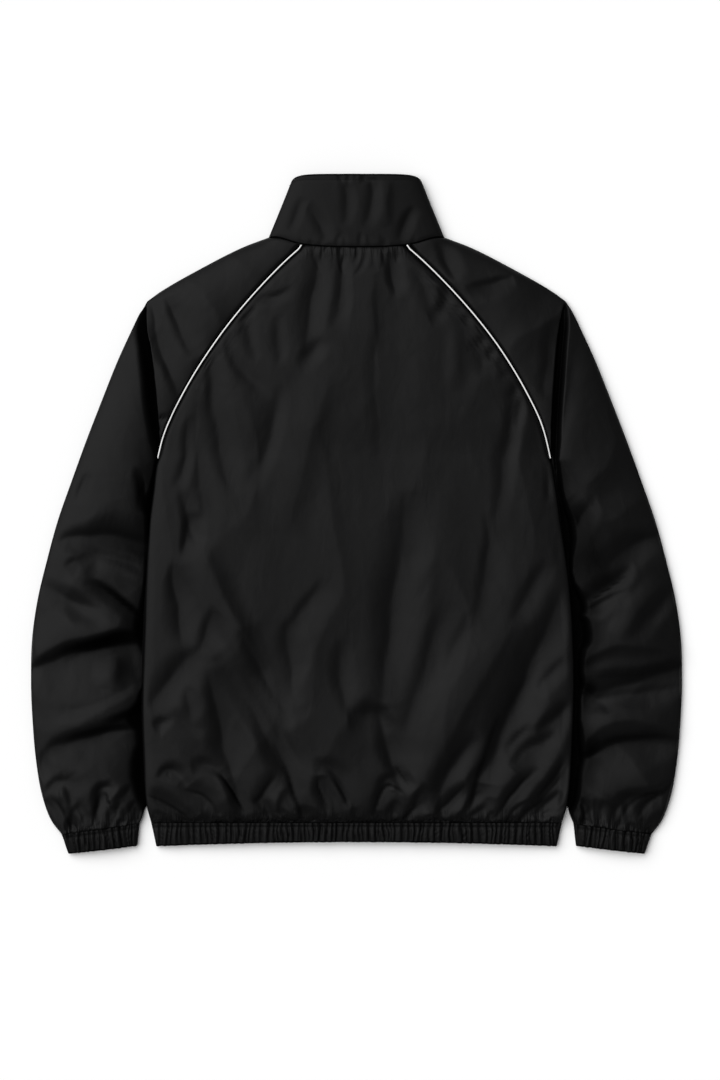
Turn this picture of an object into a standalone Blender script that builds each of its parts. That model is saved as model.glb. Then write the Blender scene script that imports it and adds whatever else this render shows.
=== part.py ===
"""A windbreaker laid flat on its front, back up: raglan shell, stand collar, elastic hem and cuffs, zip.

Metres, +Z up. The collar points to +Y, the wearer's left is -X, and the origin lies under the middle of
the garment, on the surface that it rests on. Sizes and tables are in millimetres: MM makes them metres.
Every panel is a wall of cloth between an outer and an inner grid of points. A section crosses the flat
garment from one edge to the other, and a table gives a row for each section.
"""

import math
from collections import namedtuple

import bmesh
import bpy
import numpy as np

MM = 0.001
SHARP_ANGLE = math.radians(40)

# Cloth and seams
WALL = 1.5  # shell cloth
CASING_WALL = 2.4  # collar, hem band and cuffs: doubled cloth
SEAM = 0.3  # gap between two pieces at a seam
EDGE = 2 * WALL + SEAM  # depth of a panel edge where two panels meet one over the other
FOLD_Z = 3.5  # middle height of a folded edge
FOLD_REACH = 6.0  # how far in the underside of a folded edge meets the surface
FOLD_STEPS = (0.15, 0.5, 1.0)  # the shares of that reach with a column of points
LIFT_REACH = 30.0  # how far in the underside of a raised edge meets the surface

# Piping in the back raglan seams
PIPING_RADIUS = 1.6
PIPING_SIDES = 6
PIPING_ROOM = PIPING_RADIUS + SEAM
PIPING_SUNK = 0.2  # how far its middle lies below the panels' outer face
PIPING_TRIM = 0.12  # its ends stop this share of a row short of the neck and the underarm
PIPING_ROOM_BELOW = 12.0  # the room for it closes this far under the underarm

# Body: from the neck along the raglan seam to the underarm, then down the side to the hem
NECK_Y = 322.8  # where the raglan seams meet the neck seam
UNDERARM_Y = 69.5
HEM_Y = -369.0
FRONT_NECK_Y = 300.0  # the neck seam at the centre front
BodyRow = namedtuple("BodyRow", "y half_width top bottom crown round")
BODY = (
    BodyRow(NECK_Y, 63.0, 16.2, 0.0, 1.8, 2.0),
    BodyRow(300.6, 87.5, 16.8, 0.0, 3.5, 2.0),
    BodyRow(262.2, 124.2, 17.4, 0.0, 5.5, 2.0),
    BodyRow(223.8, 156.2, 17.6, 0.0, 7.0, 2.0),
    BodyRow(185.4, 183.2, 17.2, 0.0, 8.0, 2.0),
    BodyRow(147.0, 205.8, 16.0, 0.5, 9.5, 1.9),
    BodyRow(108.6, 224.2, 14.0, 3.0, 11.5, 1.6),
    BodyRow(UNDERARM_Y, 234.8, 11.3, 8.0, 14.0, 1.2),
    BodyRow(39.0, 238.8, 11.3, 8.0, 15.0, 1.0),
    BodyRow(5.4, 243.3, 11.3, 8.0, 16.0, 0.9),
    BodyRow(-72.6, 251.7, 11.3, 8.0, 17.5, 0.85),
    BodyRow(-138.6, 255.6, 11.3, 8.0, 18.0, 0.8),
    BodyRow(-222.6, 257.5, 11.3, 8.0, 18.0, 0.8),
    BodyRow(-282.6, 255.6, 10.8, 7.5, 17.0, 0.75),
    BodyRow(-342.6, 252.0, 8.0, 4.7, 13.0, 0.6),
    BodyRow(HEM_Y, 246.0, 5.4, 2.1, 8.1, 0.35),
)
RAGLAN_ROWS = 8
SIDE_ROWS = 16
BACK_COLUMNS = 26

# Neck seam at the back, from the centre to the side fold of the collar
PlanPoint = namedtuple("PlanPoint", "x y")
NECK = (
    PlanPoint(0.0, 319.2),
    PlanPoint(38.6, 320.0),
    PlanPoint(69.0, 323.6),
    PlanPoint(95.0, 331.3),
    PlanPoint(105.0, 332.0),
)
NECK_REACH = 60.0  # how far down the neck's curve bends the sections
SEAM_ROW = 1.0  # the first and last rows of a panel lie within this of its seams

# Collar
COLLAR_BASE = NECK[-1].x
COLLAR_TOP = 77.4  # half width at the top of its side folds
COLLAR_CORNER_Y = 396.6
COLLAR_TOP_Y = 406.95
COLLAR_FRONT_TOP_Y = 388.0
COLLAR_RISE = 14.5
COLLAR_ROUND = 0.3
COLLAR_ROWS = 3
COLLAR_TOP_FLAT = 8  # power of the top edge's curve: the higher, the squarer its corners
COLLAR_FRONT_DIP = 3  # power of the front top edge's curve
BAND_COLUMNS = 20

# Zip: the fronts part at the centre line, over the tapes
FRONT_EDGE = 5.0
ZIP_LIFT = 1.2  # room under the shell for the teeth
SLIDER_LIFT = 4.2  # room under the collar for the slider and its pull
LIFT_FLAT = 10.0
LIFT_END = 32.0
TAPE_INNER = 1.0
TAPE_WALL = 1.0
TAPE_SET = 0.7  # how far the tape lies inside the outer face
TAPE_ROWS = (320, 340, 358)  # heights between the front neck and the collar's front top with a row of points
TAPE_TRIM = 1.0  # the tape ends this far under the collar's front top

# Slider and pull, from the outside of the garment (low z) to the inside. The slider's middle is at SLIDER_Y
SLIDER_Y = 378.0
PLATE = 1.0
PLATE_HALF = 3.8
SLIDER_HALF_LENGTH = 4.8
SLIDER_BASE = SLIDER_LIFT - 0.6  # outer face of the outer plate
SLOT = 1.6  # room between the plates for the tapes
POST_HALF = 0.65
POST_SET = 0.5  # how far the post runs into each plate, and stops short of their ends
BAIL_HALF = 0.6
BAIL_ROOM = 1.2  # inner radius of the bail
BAIL_THICK = 0.8
BAIL_CORNERS = 9
AXIS_Z = SLIDER_BASE - 1.3
PULL_THICK = 1.2
PULL_SLOT_HALF = 1.0
PULL_SLOT_LENGTH = 2.6
PULL_END_GAP = 0.25  # the pull's free end above the surface
# Outline of the pull: how far each row is from its bar's middle, and its half width
PullRow = namedtuple("PullRow", "y half_width")
PULL = (
    PullRow(PULL_THICK / 2, 2.25),
    PullRow(-PULL_THICK / 2, 2.4),
    PullRow(-PULL_THICK / 2 - PULL_SLOT_LENGTH, 3.0),
    PullRow(-21.0, 3.0),
    PullRow(-24.0, 1.8),
)

# Shoulder line: the sleeve's fold from the collar to the shoulder tip
SHOULDER = (
    PlanPoint(105.0, 332.0),
    PlanPoint(136.8, 319.8),
    PlanPoint(184.2, 295.8),
    PlanPoint(234.6, 267.0),
    PlanPoint(250.5, 255.5),
)
SHOULDER_SPREAD = 0.8  # sections crowd towards the shoulder tip below 1

# Arm: a section from the underarm seam (x, y, z) to the outer fold, from the shoulder tip to the cuff.
# edge is the middle height at the underarm seam; full is 1 where the inner side is round like the outer
ArmRow = namedtuple("ArmRow", "x y edge outer_x outer_y crown round full")
ARM = (
    ArmRow(236.7, 69.5, 9.65, 250.5, 255.5, 7.0, 0.5, 0.0),
    ArmRow(236.9, 65.0, 9.1, 258.6, 243.0, 9.0, 0.5, 0.0),
    ArmRow(237.4, 57.5, 8.0, 269.0, 221.6, 13.0, 0.5, 0.0),
    ArmRow(238.6, 48.0, 6.8, 285.6, 185.4, 16.0, 0.5, 0.0),
    ArmRow(240.4, 32.0, 5.2, 304.8, 137.4, 18.0, 0.5, 0.0),
    ArmRow(241.4, 8.0, 3.6, 323.4, 89.4, 19.5, 0.5, 0.0),
    ArmRow(243.0, -24.0, 2.6, 340.8, 41.4, 20.5, 0.5, 0.0),
    ArmRow(246.0, -66.0, 1.9, 357.6, -6.6, 21.0, 0.5, 0.0),
    ArmRow(248.6, -110.0, 1.65, 370.8, -54.6, 21.0, 0.5, 0.0),
    ArmRow(250.5, -156.0, 1.65, 382.2, -102.6, 21.0, 0.5, 0.0),
    ArmRow(251.5, -202.0, 1.65, 388.8, -150.6, 21.0, 0.5, 0.0),
    ArmRow(252.0, -244.0, 1.65, 390.0, -200.0, 20.5, 0.5, 0.0),
    ArmRow(251.5, -282.0, 1.65, 388.2, -246.6, 20.0, 0.5, 0.0),
    ArmRow(252.2, -314.0, 1.65, 384.0, -294.6, 18.5, 0.5, 0.0),
    ArmRow(253.0, -338.0, 2.0, 377.0, -335.0, 16.0, 0.45, 0.3),
    ArmRow(255.0, -357.0, 2.9, 366.0, -366.0, 13.0, 0.4, 0.8),
    ArmRow(259.8, -369.6, FOLD_Z, 353.4, -383.0, 10.5, 0.3, 1.0),
)
ARM_ROWS = 22
SLEEVE_TOP_COLUMNS = 9
SLEEVE_FALL = 2.2  # power of the curve from the seam's height down to the fold's
SLEEVE_SEAM_SHARE = 0.4  # the underside rises to the seam within this share of a section at most
TUCK_POWER = 1.5  # the higher, the steeper the sleeve rises out of the tuck beside the body

# A sleeve section: from the back seam over the outer fold to the front seam, in plan, and its heights
SleeveSection = namedtuple("SleeveSection", "back front outer top bottom crown round full")
CAP_ROUND = 0.5

# Elastic hem band and cuffs
HEM_BOTTOM_Y = -397.8
HEM_BOTTOM_CENTRE_Y = -392.4
HEM_BOTTOM_HALF = 240.0
CUFF_SEAM = ((259.8, -369.6), (353.4, -383.0))
CUFF_END = ((262.8, -397.2), (345.6, -406.8))
CUFF_RISE = 10.5
CUFF_ROUND = 0.3
CUFF_COLUMNS = 8
CASING_SIDE = 0.3  # beyond this share of its half width, a casing's inner face moves in from its sides

# Folds: a soft trough (depth below 0) or ridge along start, bend and end, in plan
Fold = namedtuple("Fold", "x1 y1 x2 y2 x3 y3 half_width depth")
BODY_FOLDS = (
    Fold(-182, -39, -131, -151, -83, -237, 20, -6.0),
    Fold(-175, -121, -149, -181, -73, -313, 18, 4.5),
    Fold(-155, -219, -119, -267, -66, -355, 14, -5.0),
    Fold(-223, -63, -221, -133, -240, -224, 14, -3.5),
    Fold(-43, -81, -66, -115, -89, -151, 18, -3.5),
    Fold(235, -124, 173, -211, 101, -321, 28, -7.0),
    Fold(169, -247, 155, -285, 149, -325, 14, -4.0),
    Fold(-175, 191, -163, 107, -143, 27, 18, -4.0),
    Fold(-211, 137, -211, 65, -205, -7, 16, -3.0),
    Fold(-53, 311, -55, 265, -59, 215, 18, -3.0),
    Fold(-59, 137, -71, 35, -79, -7, 24, -3.5),
    Fold(55, -180, 45, -240, 22, -310, 24, -3.5),
)
LEFT_SLEEVE_FOLDS = (
    Fold(-385, -183, -313, -145, -257, -147, 18, -7.0),
    Fold(-319, -80, -286, -94, -253, -117, 15, -5.5),
    Fold(-354, -31, -313, -9, -253, -27, 16, -4.5),
    Fold(-373, -249, -313, -231, -257, -197, 15, 4.0),
    Fold(-337, -279, -317, -255, -265, -271, 15, -5.0),
    Fold(-241, 239, -227, 177, -215, 153, 14, -3.0),
)
RIGHT_SLEEVE_FOLDS = (
    Fold(271, -187, 311, -165, 389, -175, 20, -7.5),
    Fold(281, 3, 317, -21, 359, -27, 15, -4.5),
    Fold(281, -105, 311, -85, 347, -55, 14, -4.0),
    Fold(269, -295, 331, -253, 383, -273, 16, -5.0),
    Fold(323, -141, 347, -111, 365, -87, 14, -3.5),
)
SHOULDER_FOLD = ((250.5, 255.5), (236.7, 69.5))  # the deep fold where the sleeve turns down
SHOULDER_FOLD_STEEP = 7.0
SHOULDER_FOLD_SOFT = 24.0
SHOULDER_FOLD_FLOOR = 7.0  # the height of its bottom, which rises to the seam at the underarm

BLACK = (0.012, 0.012, 0.013, 1.0)
CASING_BLACK = (0.010, 0.010, 0.011, 1.0)
WHITE = (0.85, 0.85, 0.84, 1.0)
METAL = (0.03, 0.03, 0.032, 1.0)


def smooth(keys, values, at):
    """A cubic through the values, whose slope at each key is the mean of its neighbours'."""
    keys = np.asarray(keys, float)
    values = np.asarray(values, float)
    step = np.diff(keys)
    rise = np.diff(values) / step
    slope = np.concatenate([rise[:1], (rise[:-1] + rise[1:]) / 2, rise[-1:]])
    slope[1:-1][rise[:-1] * rise[1:] <= 0] = 0
    index = np.clip(np.searchsorted(keys, at, side="right") - 1, 0, len(step) - 1)
    t = (at - keys[index]) / step[index]
    start = (2 * t**3 - 3 * t**2 + 1) * values[index] + (t**3 - 2 * t**2 + t) * step[index] * slope[index]
    end = (3 * t**2 - 2 * t**3) * values[index + 1] + (t**3 - t**2) * step[index] * slope[index + 1]
    return start + end


def ease(value, start, end):
    """0 at start, 1 at end, and smooth between."""
    t = np.clip((np.asarray(value, float) - start) / (end - start), 0, 1)
    return t * t * (3 - 2 * t)


def body_at(y, column):
    """A column of BODY at the height y."""
    rows = BODY[::-1]
    return smooth([row.y for row in rows], [getattr(row, column) for row in rows], y)


def body_stations():
    """The y of each body section, from the neck to the hem."""
    raglan = np.linspace(NECK_Y, UNDERARM_Y, RAGLAN_ROWS + 1)
    return np.concatenate([raglan, np.linspace(UNDERARM_Y, HEM_Y, SIDE_ROWS + 1)[1:]])


def neck_y(x):
    return smooth([point.x for point in NECK], [point.y for point in NECK], np.abs(x))


def front_neck_y(x):
    return FRONT_NECK_Y + (NECK[-1].y - FRONT_NECK_Y) * (np.abs(x) / COLLAR_BASE) ** 2


def neck_weight(y):
    """How much of the neck's curve a section at y takes."""
    return ease(y, NECK_Y - NECK_REACH, NECK_Y)


def lens(across, roundness):
    """0 at both folds (across = -1 and 1), 1 in the middle."""
    return np.clip(1 - across**2, 0, 1) ** roundness


def zip_lift(x, y):
    """How far the front is raised along the zip."""
    height = ZIP_LIFT + (SLIDER_LIFT - ZIP_LIFT) * ease(y, FRONT_NECK_Y, COLLAR_FRONT_TOP_Y - 30)
    return height * (1 - ease(np.abs(x), LIFT_FLAT, LIFT_END))


def raised_edge(distance, height, reach=LIFT_REACH):
    """The underside of a panel whose edge stands at height."""
    return height * np.clip(1 - distance / reach, 0, 1) ** 2


def folded_edge(distance):
    """The underside of a round fold."""
    return FOLD_Z * (1 - np.sqrt(1 - np.clip(1 - distance / FOLD_REACH, 0, 1) ** 2))


def path_distance(x, y, points):
    """Each point's distance from a path, its share of the way along, and its side (1 left, -1 right)."""
    points = np.asarray(points, float)
    lengths = np.linalg.norm(np.diff(points, axis=0), axis=1)
    total = lengths.sum()
    best = np.full(np.shape(x), np.inf)
    share = np.zeros(np.shape(x))
    side = np.ones(np.shape(x))
    done = 0.0
    for start, end, length in zip(points[:-1], points[1:], lengths):
        way = (end - start) / length
        along = (x - start[0]) * way[0] + (y - start[1]) * way[1]
        across = (y - start[1]) * way[0] - (x - start[0]) * way[1]
        over = along - np.clip(along, 0, length)
        distance = np.hypot(over, across)
        near = distance < best
        best = np.where(near, distance, best)
        share = np.where(near, (done + np.clip(along, 0, length)) / total, share)
        side = np.where(near, np.sign(across), side)
        done += length
    return best, share, side


def folds_at(x, y, folds):
    """How far the folds move the cloth up."""
    total = np.zeros(np.shape(x))
    for fold in folds:
        path = ((fold.x1, fold.y1), (fold.x2, fold.y2), (fold.x3, fold.y3))
        distance, share, _ = path_distance(x, y, path)
        total += fold.depth * np.exp(-((distance / fold.half_width) ** 2) * 2) * np.sqrt(np.sin(np.pi * share))
    return total


def shoulder_fold(x, y, z):
    """The height of the cloth with the shoulder's deep fold: steep beside the body, soft beyond."""
    distance, share, side = path_distance(np.abs(x), y, SHOULDER_FOLD)
    outward = distance * side
    fall = ease(outward, 0, SHOULDER_FOLD_STEEP) * (1 - ease(outward, SHOULDER_FOLD_STEEP, SHOULDER_FOLD_SOFT))
    fall = fall * ease(share, 0, 0.12)
    floor = SHOULDER_FOLD_FLOOR + (body_at(UNDERARM_Y, "top") - SHOULDER_FOLD_FLOOR) * ease(share, 0.7, 0.95)
    return z - fall * np.clip(z - floor, 0, None)


def body_top(x, y, half_width):
    """The outer face of the back at x in the section at y."""
    edge = body_at(y, "top")
    rise = lens(x / half_width, body_at(y, "round") / 2) * body_at(y, "crown")
    inside = np.clip(half_width - np.abs(x), 0, None)
    return edge + rise + folds_at(x, y, BODY_FOLDS) * ease(inside, 2, 30) * ease(y, HEM_Y, HEM_Y + 30)


def inset(section, thickness, outward=1):
    """The section's points moved in by the thickness, square to it in its own upright plane."""
    tangent = np.gradient(section, axis=0)
    along = section[len(section) // 2] - section[0] if outward > 0 else np.array([1.0, 0, 0])
    way = np.array([along[0], along[1], 0.0])
    way /= np.linalg.norm(way)
    level = tangent @ way
    normal = outward * (np.outer(-tangent[:, 2], way) + np.outer(level, (0, 0, 1)))
    return section - thickness * normal / np.linalg.norm(normal, axis=1)[:, None]


def material(name, colour, roughness, metallic=0.0):
    made = bpy.data.materials.new(name)
    made.use_nodes = True
    shader = made.node_tree.nodes["Principled BSDF"]
    shader.inputs["Base Color"].default_value = colour
    shader.inputs["Roughness"].default_value = roughness
    shader.inputs["Metallic"].default_value = metallic
    return made


def solid(name, points, faces, finish):
    """An object from points in millimetres, with its faces turned outwards."""
    mesh = bpy.data.meshes.new(name)
    mesh.from_pydata([tuple(point * MM for point in row) for row in points], [], faces)
    shape = bmesh.new()
    shape.from_mesh(mesh)
    bmesh.ops.recalc_face_normals(shape, faces=shape.faces)
    shape.to_mesh(mesh)
    shape.free()
    mesh.shade_smooth()
    mesh.set_sharp_from_angle(angle=SHARP_ANGLE)
    made = bpy.data.objects.new(name, mesh)
    made.data.materials.append(finish)
    bpy.context.collection.objects.link(made)
    return made


def wall(name, outer, inner, finish, mirrored=False, ring=False):
    """A closed wall between two grids. Each grid is a list of sections; a ring's sections are loops."""
    points = np.concatenate([np.reshape(outer, (-1, 3)), np.reshape(inner, (-1, 3))])
    if mirrored:
        points = points * (-1, 1, 1)
    rows, columns = np.shape(outer)[:2]
    back = rows * columns
    faces = []

    def at(row, column, side=0):
        return side * back + row * columns + column % columns

    for row in range(rows - 1):
        for column in range(columns if ring else columns - 1):
            corners = ((row, column), (row, column + 1), (row + 1, column + 1), (row + 1, column))
            faces += both_sides([at(r, c) for r, c in corners], back)
    for row in (0, rows - 1):
        for column in range(columns if ring else columns - 1):
            faces.append([at(row, column), at(row, column + 1), at(row, column + 1, 1), at(row, column, 1)])
    if not ring:
        for column in (0, columns - 1):
            for row in range(rows - 1):
                faces.append([at(row, column), at(row + 1, column), at(row + 1, column, 1), at(row, column, 1)])
    return solid(name, points, faces, finish)


def raglan_gap(y, front):
    """How far a panel's edge stays from the middle of the raglan seam, or of the side seam below it."""
    if front:
        return SEAM / 2
    return PIPING_ROOM * ease(y, UNDERARM_Y - PIPING_ROOM_BELOW, UNDERARM_Y + 2)


def at_seams(rows_y, y):
    """The row's points moved half a seam in where it is the panel's first or last."""
    return rows_y - SEAM / 2 * (ease(y, NECK_Y - SEAM_ROW, NECK_Y) - 1 + ease(y, HEM_Y, HEM_Y + SEAM_ROW))


def raglan_normal(y):
    """The way out from the body, square to the raglan seam, in plan."""
    above = min(y + 1, NECK_Y)
    spread = body_at(above - 2, "half_width") - body_at(above, "half_width")
    return np.array([2.0, spread]) / math.hypot(2.0, spread)


def raglan_point(y, gap, front=False):
    """A point beside the raglan seam, gap away from it and out from the body where gap is above 0."""
    out = raglan_normal(y)
    half = body_at(y, "half_width")
    if y == NECK_Y:
        x = half + gap / out[0]
        return np.array([x, front_neck_y(x) if front else neck_y(x)])
    point = np.array([half, y]) + gap * out
    if front:
        point[1] -= (neck_y(BODY[0].half_width) - front_neck_y(BODY[0].half_width)) * neck_share(y)
    return point


def neck_share(y):
    """1 at the neck, 0 at the underarm, and 0 below."""
    return float(np.clip((y - UNDERARM_Y) / (NECK_Y - UNDERARM_Y), 0, 1))


def make_back(finish):
    outer, inner = [], []
    for y in body_stations():
        corner = raglan_point(y, -raglan_gap(y, front=False))
        angles = np.linspace(-math.pi / 2, math.pi / 2, BACK_COLUMNS + 1)
        x = corner[0] * np.sin(angles)
        rows_y = at_seams(corner[1] + (neck_y(x) - neck_y(corner[0])) * neck_weight(y), y)
        z = body_top(x, np.full_like(x, y), corner[0])
        section = np.column_stack([x, rows_y, z])
        outer.append(section)
        inner.append(inset(section, WALL))
    return wall("back", outer, inner, finish)


def make_front(name, finish, mirrored):
    outer, inner = [], []
    for y in body_stations():
        corner = raglan_point(y, -raglan_gap(y, front=True), front=True)
        lift_end = min(LIFT_END, 0.6 * corner[0])
        ways_in = np.array([0, LIFT_REACH / 3, LIFT_REACH]) * min(1, (corner[0] - lift_end) / (LIFT_REACH + 20))
        x = np.concatenate([corner[0] - ways_in, [(corner[0] - ways_in[-1] + lift_end) / 2, lift_end]])
        x = np.concatenate([x, [LIFT_FLAT, FRONT_EDGE]])
        drop = (front_neck_y(x) - front_neck_y(corner[0])) * neck_weight(y)
        rows_y = at_seams(corner[1] + drop, y)
        z = raised_edge(corner[0] - x, body_at(y, "bottom")) + zip_lift(x, rows_y)
        section = np.column_stack([x, rows_y, z])[::-1]
        outer.append(section)
        inner.append(inset(section, WALL, outward=-1))
    return wall(name, outer, inner, finish, mirrored)


def cap_sections():
    """The sleeve's sections from the neck down to the underarm, between the raglan seams and the shoulder."""
    shoulder = np.array(SHOULDER)
    lengths = np.concatenate([[0], np.cumsum(np.linalg.norm(np.diff(shoulder, axis=0), axis=1))])
    sections = []
    for y in np.linspace(NECK_Y, UNDERARM_Y, RAGLAN_ROWS + 1)[:-1]:
        share = (1 - neck_share(y)) ** SHOULDER_SPREAD
        section = SleeveSection(
            back=raglan_point(y, raglan_gap(y, front=False)),
            front=raglan_point(y, raglan_gap(y, front=True), front=True),
            outer=np.array([smooth(lengths, shoulder[:, axis], share * lengths[-1]) for axis in (0, 1)]),
            top=body_at(y, "top"),
            bottom=body_at(y, "bottom"),
            crown=ARM[0].crown * share,
            round=CAP_ROUND,
            full=0.0,
        )
        sections.append(section)
    return sections


def arm_sections():
    """The sleeve's sections from the shoulder tip down to the cuff."""
    sections = []
    for place in np.linspace(0, len(ARM) - 1, ARM_ROWS + 1):
        row = ArmRow(*(smooth(range(len(ARM)), column, place) for column in zip(*ARM)))
        seam = np.array([row.x, row.y])
        section = SleeveSection(
            back=seam,
            front=seam,
            outer=np.array([row.outer_x, row.outer_y]),
            top=row.edge + EDGE / 2,
            bottom=row.edge - EDGE / 2,
            crown=row.crown,
            round=row.round,
            full=row.full,
        )
        sections.append(section)
    return sections


def sleeve_rise(across, section):
    """The crown's share at across, 0 at the seam and 1 at the outer fold."""
    round_side = lens(2 * across - 1, section.round)
    tucked = np.sin(np.pi * np.clip(across, 0, 0.5)) ** TUCK_POWER
    return np.where(across < 0.5, tucked + (round_side - tucked) * section.full, round_side)


def sleeve_top(section, folds, on_neck):
    """The points of a section's outer face, from the back seam to the outer fold."""
    across = (1 - np.cos(np.linspace(0, np.pi, SLEEVE_TOP_COLUMNS + 1))) / 2
    plan = section.back + np.outer(across, section.outer - section.back)
    if on_neck:
        plan[:, 1] = neck_y(plan[:, 0])
    x, y = plan.T
    fade = np.sqrt(np.clip(1 - across**SLEEVE_FALL, 0, 1))
    z = FOLD_Z + (section.top - FOLD_Z) * fade + section.crown * sleeve_rise(across, section)
    z = shoulder_fold(x, y, z)
    cuff = ease(y, ARM[-1].y, ARM[-1].y + 40)
    z = z + folds_at(x, y, folds) * ease(across, 0, 0.2) * ease(1 - across, 0, 0.12) * cuff
    return np.column_stack([plan, z])


def sleeve_underside(section, on_neck):
    """The points of a section's underside, from the outer fold to the front seam."""
    length = np.linalg.norm(section.outer - section.front)
    seam_reach = min(LIFT_REACH, SLEEVE_SEAM_SHARE * length)
    out = np.concatenate([FOLD_REACH * np.array(FOLD_STEPS), length - seam_reach * np.array([1, 1 / 3, 0])])
    plan = section.outer + np.outer(out / length, section.front - section.outer)
    if on_neck:
        plan[:, 1] = front_neck_y(plan[:, 0])
    return np.column_stack([plan, folded_edge(out) + raised_edge(length - out, section.bottom, seam_reach)])


def make_sleeve(name, finish, mirrored, folds):
    turn = -1 if mirrored else 1
    turned = [fold._replace(x1=fold.x1 * turn, x2=fold.x2 * turn, x3=fold.x3 * turn) for fold in folds]
    outer, inner = [], []
    sections = cap_sections() + arm_sections()
    for number, section in enumerate(sections):
        on_neck = number == 0
        on_cuff = number == len(sections) - 1
        points = np.concatenate([sleeve_top(section, turned, on_neck), sleeve_underside(section, on_neck)])
        points[:, 1] -= (on_neck - on_cuff) * SEAM / 2
        outer.append(points)
        inner.append(inset(points, WALL))
    return wall(name, outer, inner, finish, mirrored)


def casing(half, rise, roundness, front_edge=0.0):
    """The (across, height) points of a flat casing's outer and inner faces, and which lie under.

    A casing with a front edge runs from the right front edge round the back to the left one. Without
    one it is a ring.
    """
    roll = half - FOLD_REACH * np.array(FOLD_STEPS)
    columns = BAND_COLUMNS if front_edge else CUFF_COLUMNS
    over = half * np.sin(np.linspace(math.pi / 2, -math.pi / 2, columns + 1))
    if front_edge:
        under = np.concatenate([[front_edge, LIFT_FLAT, LIFT_END], roll[::-1]])
        across = np.concatenate([under, over, -under[::-1]])
        is_under = np.arange(len(across)) < len(under)
        is_under |= is_under[::-1]
    else:
        across = np.concatenate([over, -roll, [0], roll[::-1]])
        is_under = np.arange(len(across)) >= len(over)
    low = folded_edge(half - np.abs(across))
    high = rise * lens(np.clip(across / half, -1, 1), roundness)
    outer = np.where(is_under, low, FOLD_Z + high)
    moved = np.where(is_under, CASING_WALL * (1 - low / FOLD_Z), -CASING_WALL * high / rise)
    inner_across = across - np.sign(across) * CASING_WALL * ease(np.abs(across) / half, CASING_SIDE, 1)
    return across, outer, inner_across, outer + moved, is_under


def make_collar(finish):
    outer, inner = [], []
    for share in np.linspace(0, 1, COLLAR_ROWS + 1):
        half = COLLAR_BASE + (COLLAR_TOP - COLLAR_BASE) * share
        across, high, inner_across, inner_high, is_under = casing(half, COLLAR_RISE, COLLAR_ROUND, FRONT_EDGE)
        part = np.clip(np.abs(across) / half, 0, 1)
        base = np.where(is_under, front_neck_y(part * COLLAR_BASE), neck_y(part * COLLAR_BASE)) + SEAM / 2
        back_top = COLLAR_CORNER_Y + (COLLAR_TOP_Y - COLLAR_CORNER_Y) * np.sqrt(1 - part**COLLAR_TOP_FLAT)
        front_top = COLLAR_FRONT_TOP_Y + (COLLAR_CORNER_Y - COLLAR_FRONT_TOP_Y) * part**COLLAR_FRONT_DIP
        y = base + (np.where(is_under, front_top, back_top) - base) * share
        lift = np.where(is_under, zip_lift(across, y), 0)
        outer.append(np.column_stack([across, y, high + lift]))
        inner.append(np.column_stack([inner_across, y, inner_high + lift]))
    return wall("collar", outer, inner, finish)


def make_hem_band(finish):
    rise = BODY[-1].top + BODY[-1].crown - FOLD_Z
    outer, inner = [], []
    for share in (0, 1):
        half = BODY[-1].half_width + (HEM_BOTTOM_HALF - BODY[-1].half_width) * share
        across, high, inner_across, inner_high, is_under = casing(half, rise, BODY[-1].round / 2, FRONT_EDGE)
        seam = HEM_Y - SEAM / 2
        bottom = HEM_BOTTOM_CENTRE_Y + (HEM_BOTTOM_Y - HEM_BOTTOM_CENTRE_Y) * (across / half) ** 2
        y = seam + (bottom - seam) * share
        lift = np.where(is_under, zip_lift(across, y), 0)
        outer.append(np.column_stack([across, y, high + lift]))
        inner.append(np.column_stack([inner_across, y, inner_high + lift]))
    return wall("hem_band", outer, inner, finish)


def make_cuff(name, finish, mirrored):
    outer, inner = [], []
    seam, end = np.array(CUFF_SEAM), np.array(CUFF_END)
    for share in (0, 1):
        inside, outside = seam + (end - seam) * share - (0, SEAM / 2)
        half = np.linalg.norm(outside - inside) / 2
        way = (outside - inside) / (2 * half)
        across, high, inner_across, inner_high, _ = casing(half, CUFF_RISE, CUFF_ROUND)
        middle = (inside + outside) / 2
        outer.append(np.column_stack([middle + np.outer(across, way), high]))
        inner.append(np.column_stack([middle + np.outer(inner_across, way), inner_high]))
    return wall(name, outer, inner, finish, mirrored, ring=True)


def make_piping(name, finish, mirrored):
    """A cord in the seam, from just under the collar to just above the underarm."""
    rings = []
    stations = np.linspace(NECK_Y, UNDERARM_Y, RAGLAN_ROWS + 1)
    centres = np.array([np.append(raglan_point(y, 0), body_at(y, "top") - PIPING_SUNK) for y in stations])
    centres[0] += (centres[1] - centres[0]) * PIPING_TRIM
    centres[-1] += (centres[-2] - centres[-1]) * PIPING_TRIM
    for y, centre in zip(stations, centres):
        out = raglan_normal(y)
        ring = []
        for corner in range(PIPING_SIDES):
            angle = 2 * math.pi * (corner + 0.5) / PIPING_SIDES
            side = PIPING_RADIUS * math.cos(angle)
            ring.append(centre + (side * out[0], side * out[1], PIPING_RADIUS * math.sin(angle)))
        rings.append(ring)
    points = np.reshape(rings, (-1, 3))
    if mirrored:
        points = points * (-1, 1, 1)
    sides = PIPING_SIDES
    faces = []
    for ring in range(len(rings) - 1):
        for corner in range(sides):
            after = (corner + 1) % sides
            faces.append([ring * sides + corner, ring * sides + after])
            faces[-1] += [(ring + 1) * sides + after, (ring + 1) * sides + corner]
    faces.append(list(range(sides)))
    faces.append(list(range((len(rings) - 1) * sides, len(rings) * sides)))
    return solid(name, points, faces, finish)


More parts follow.
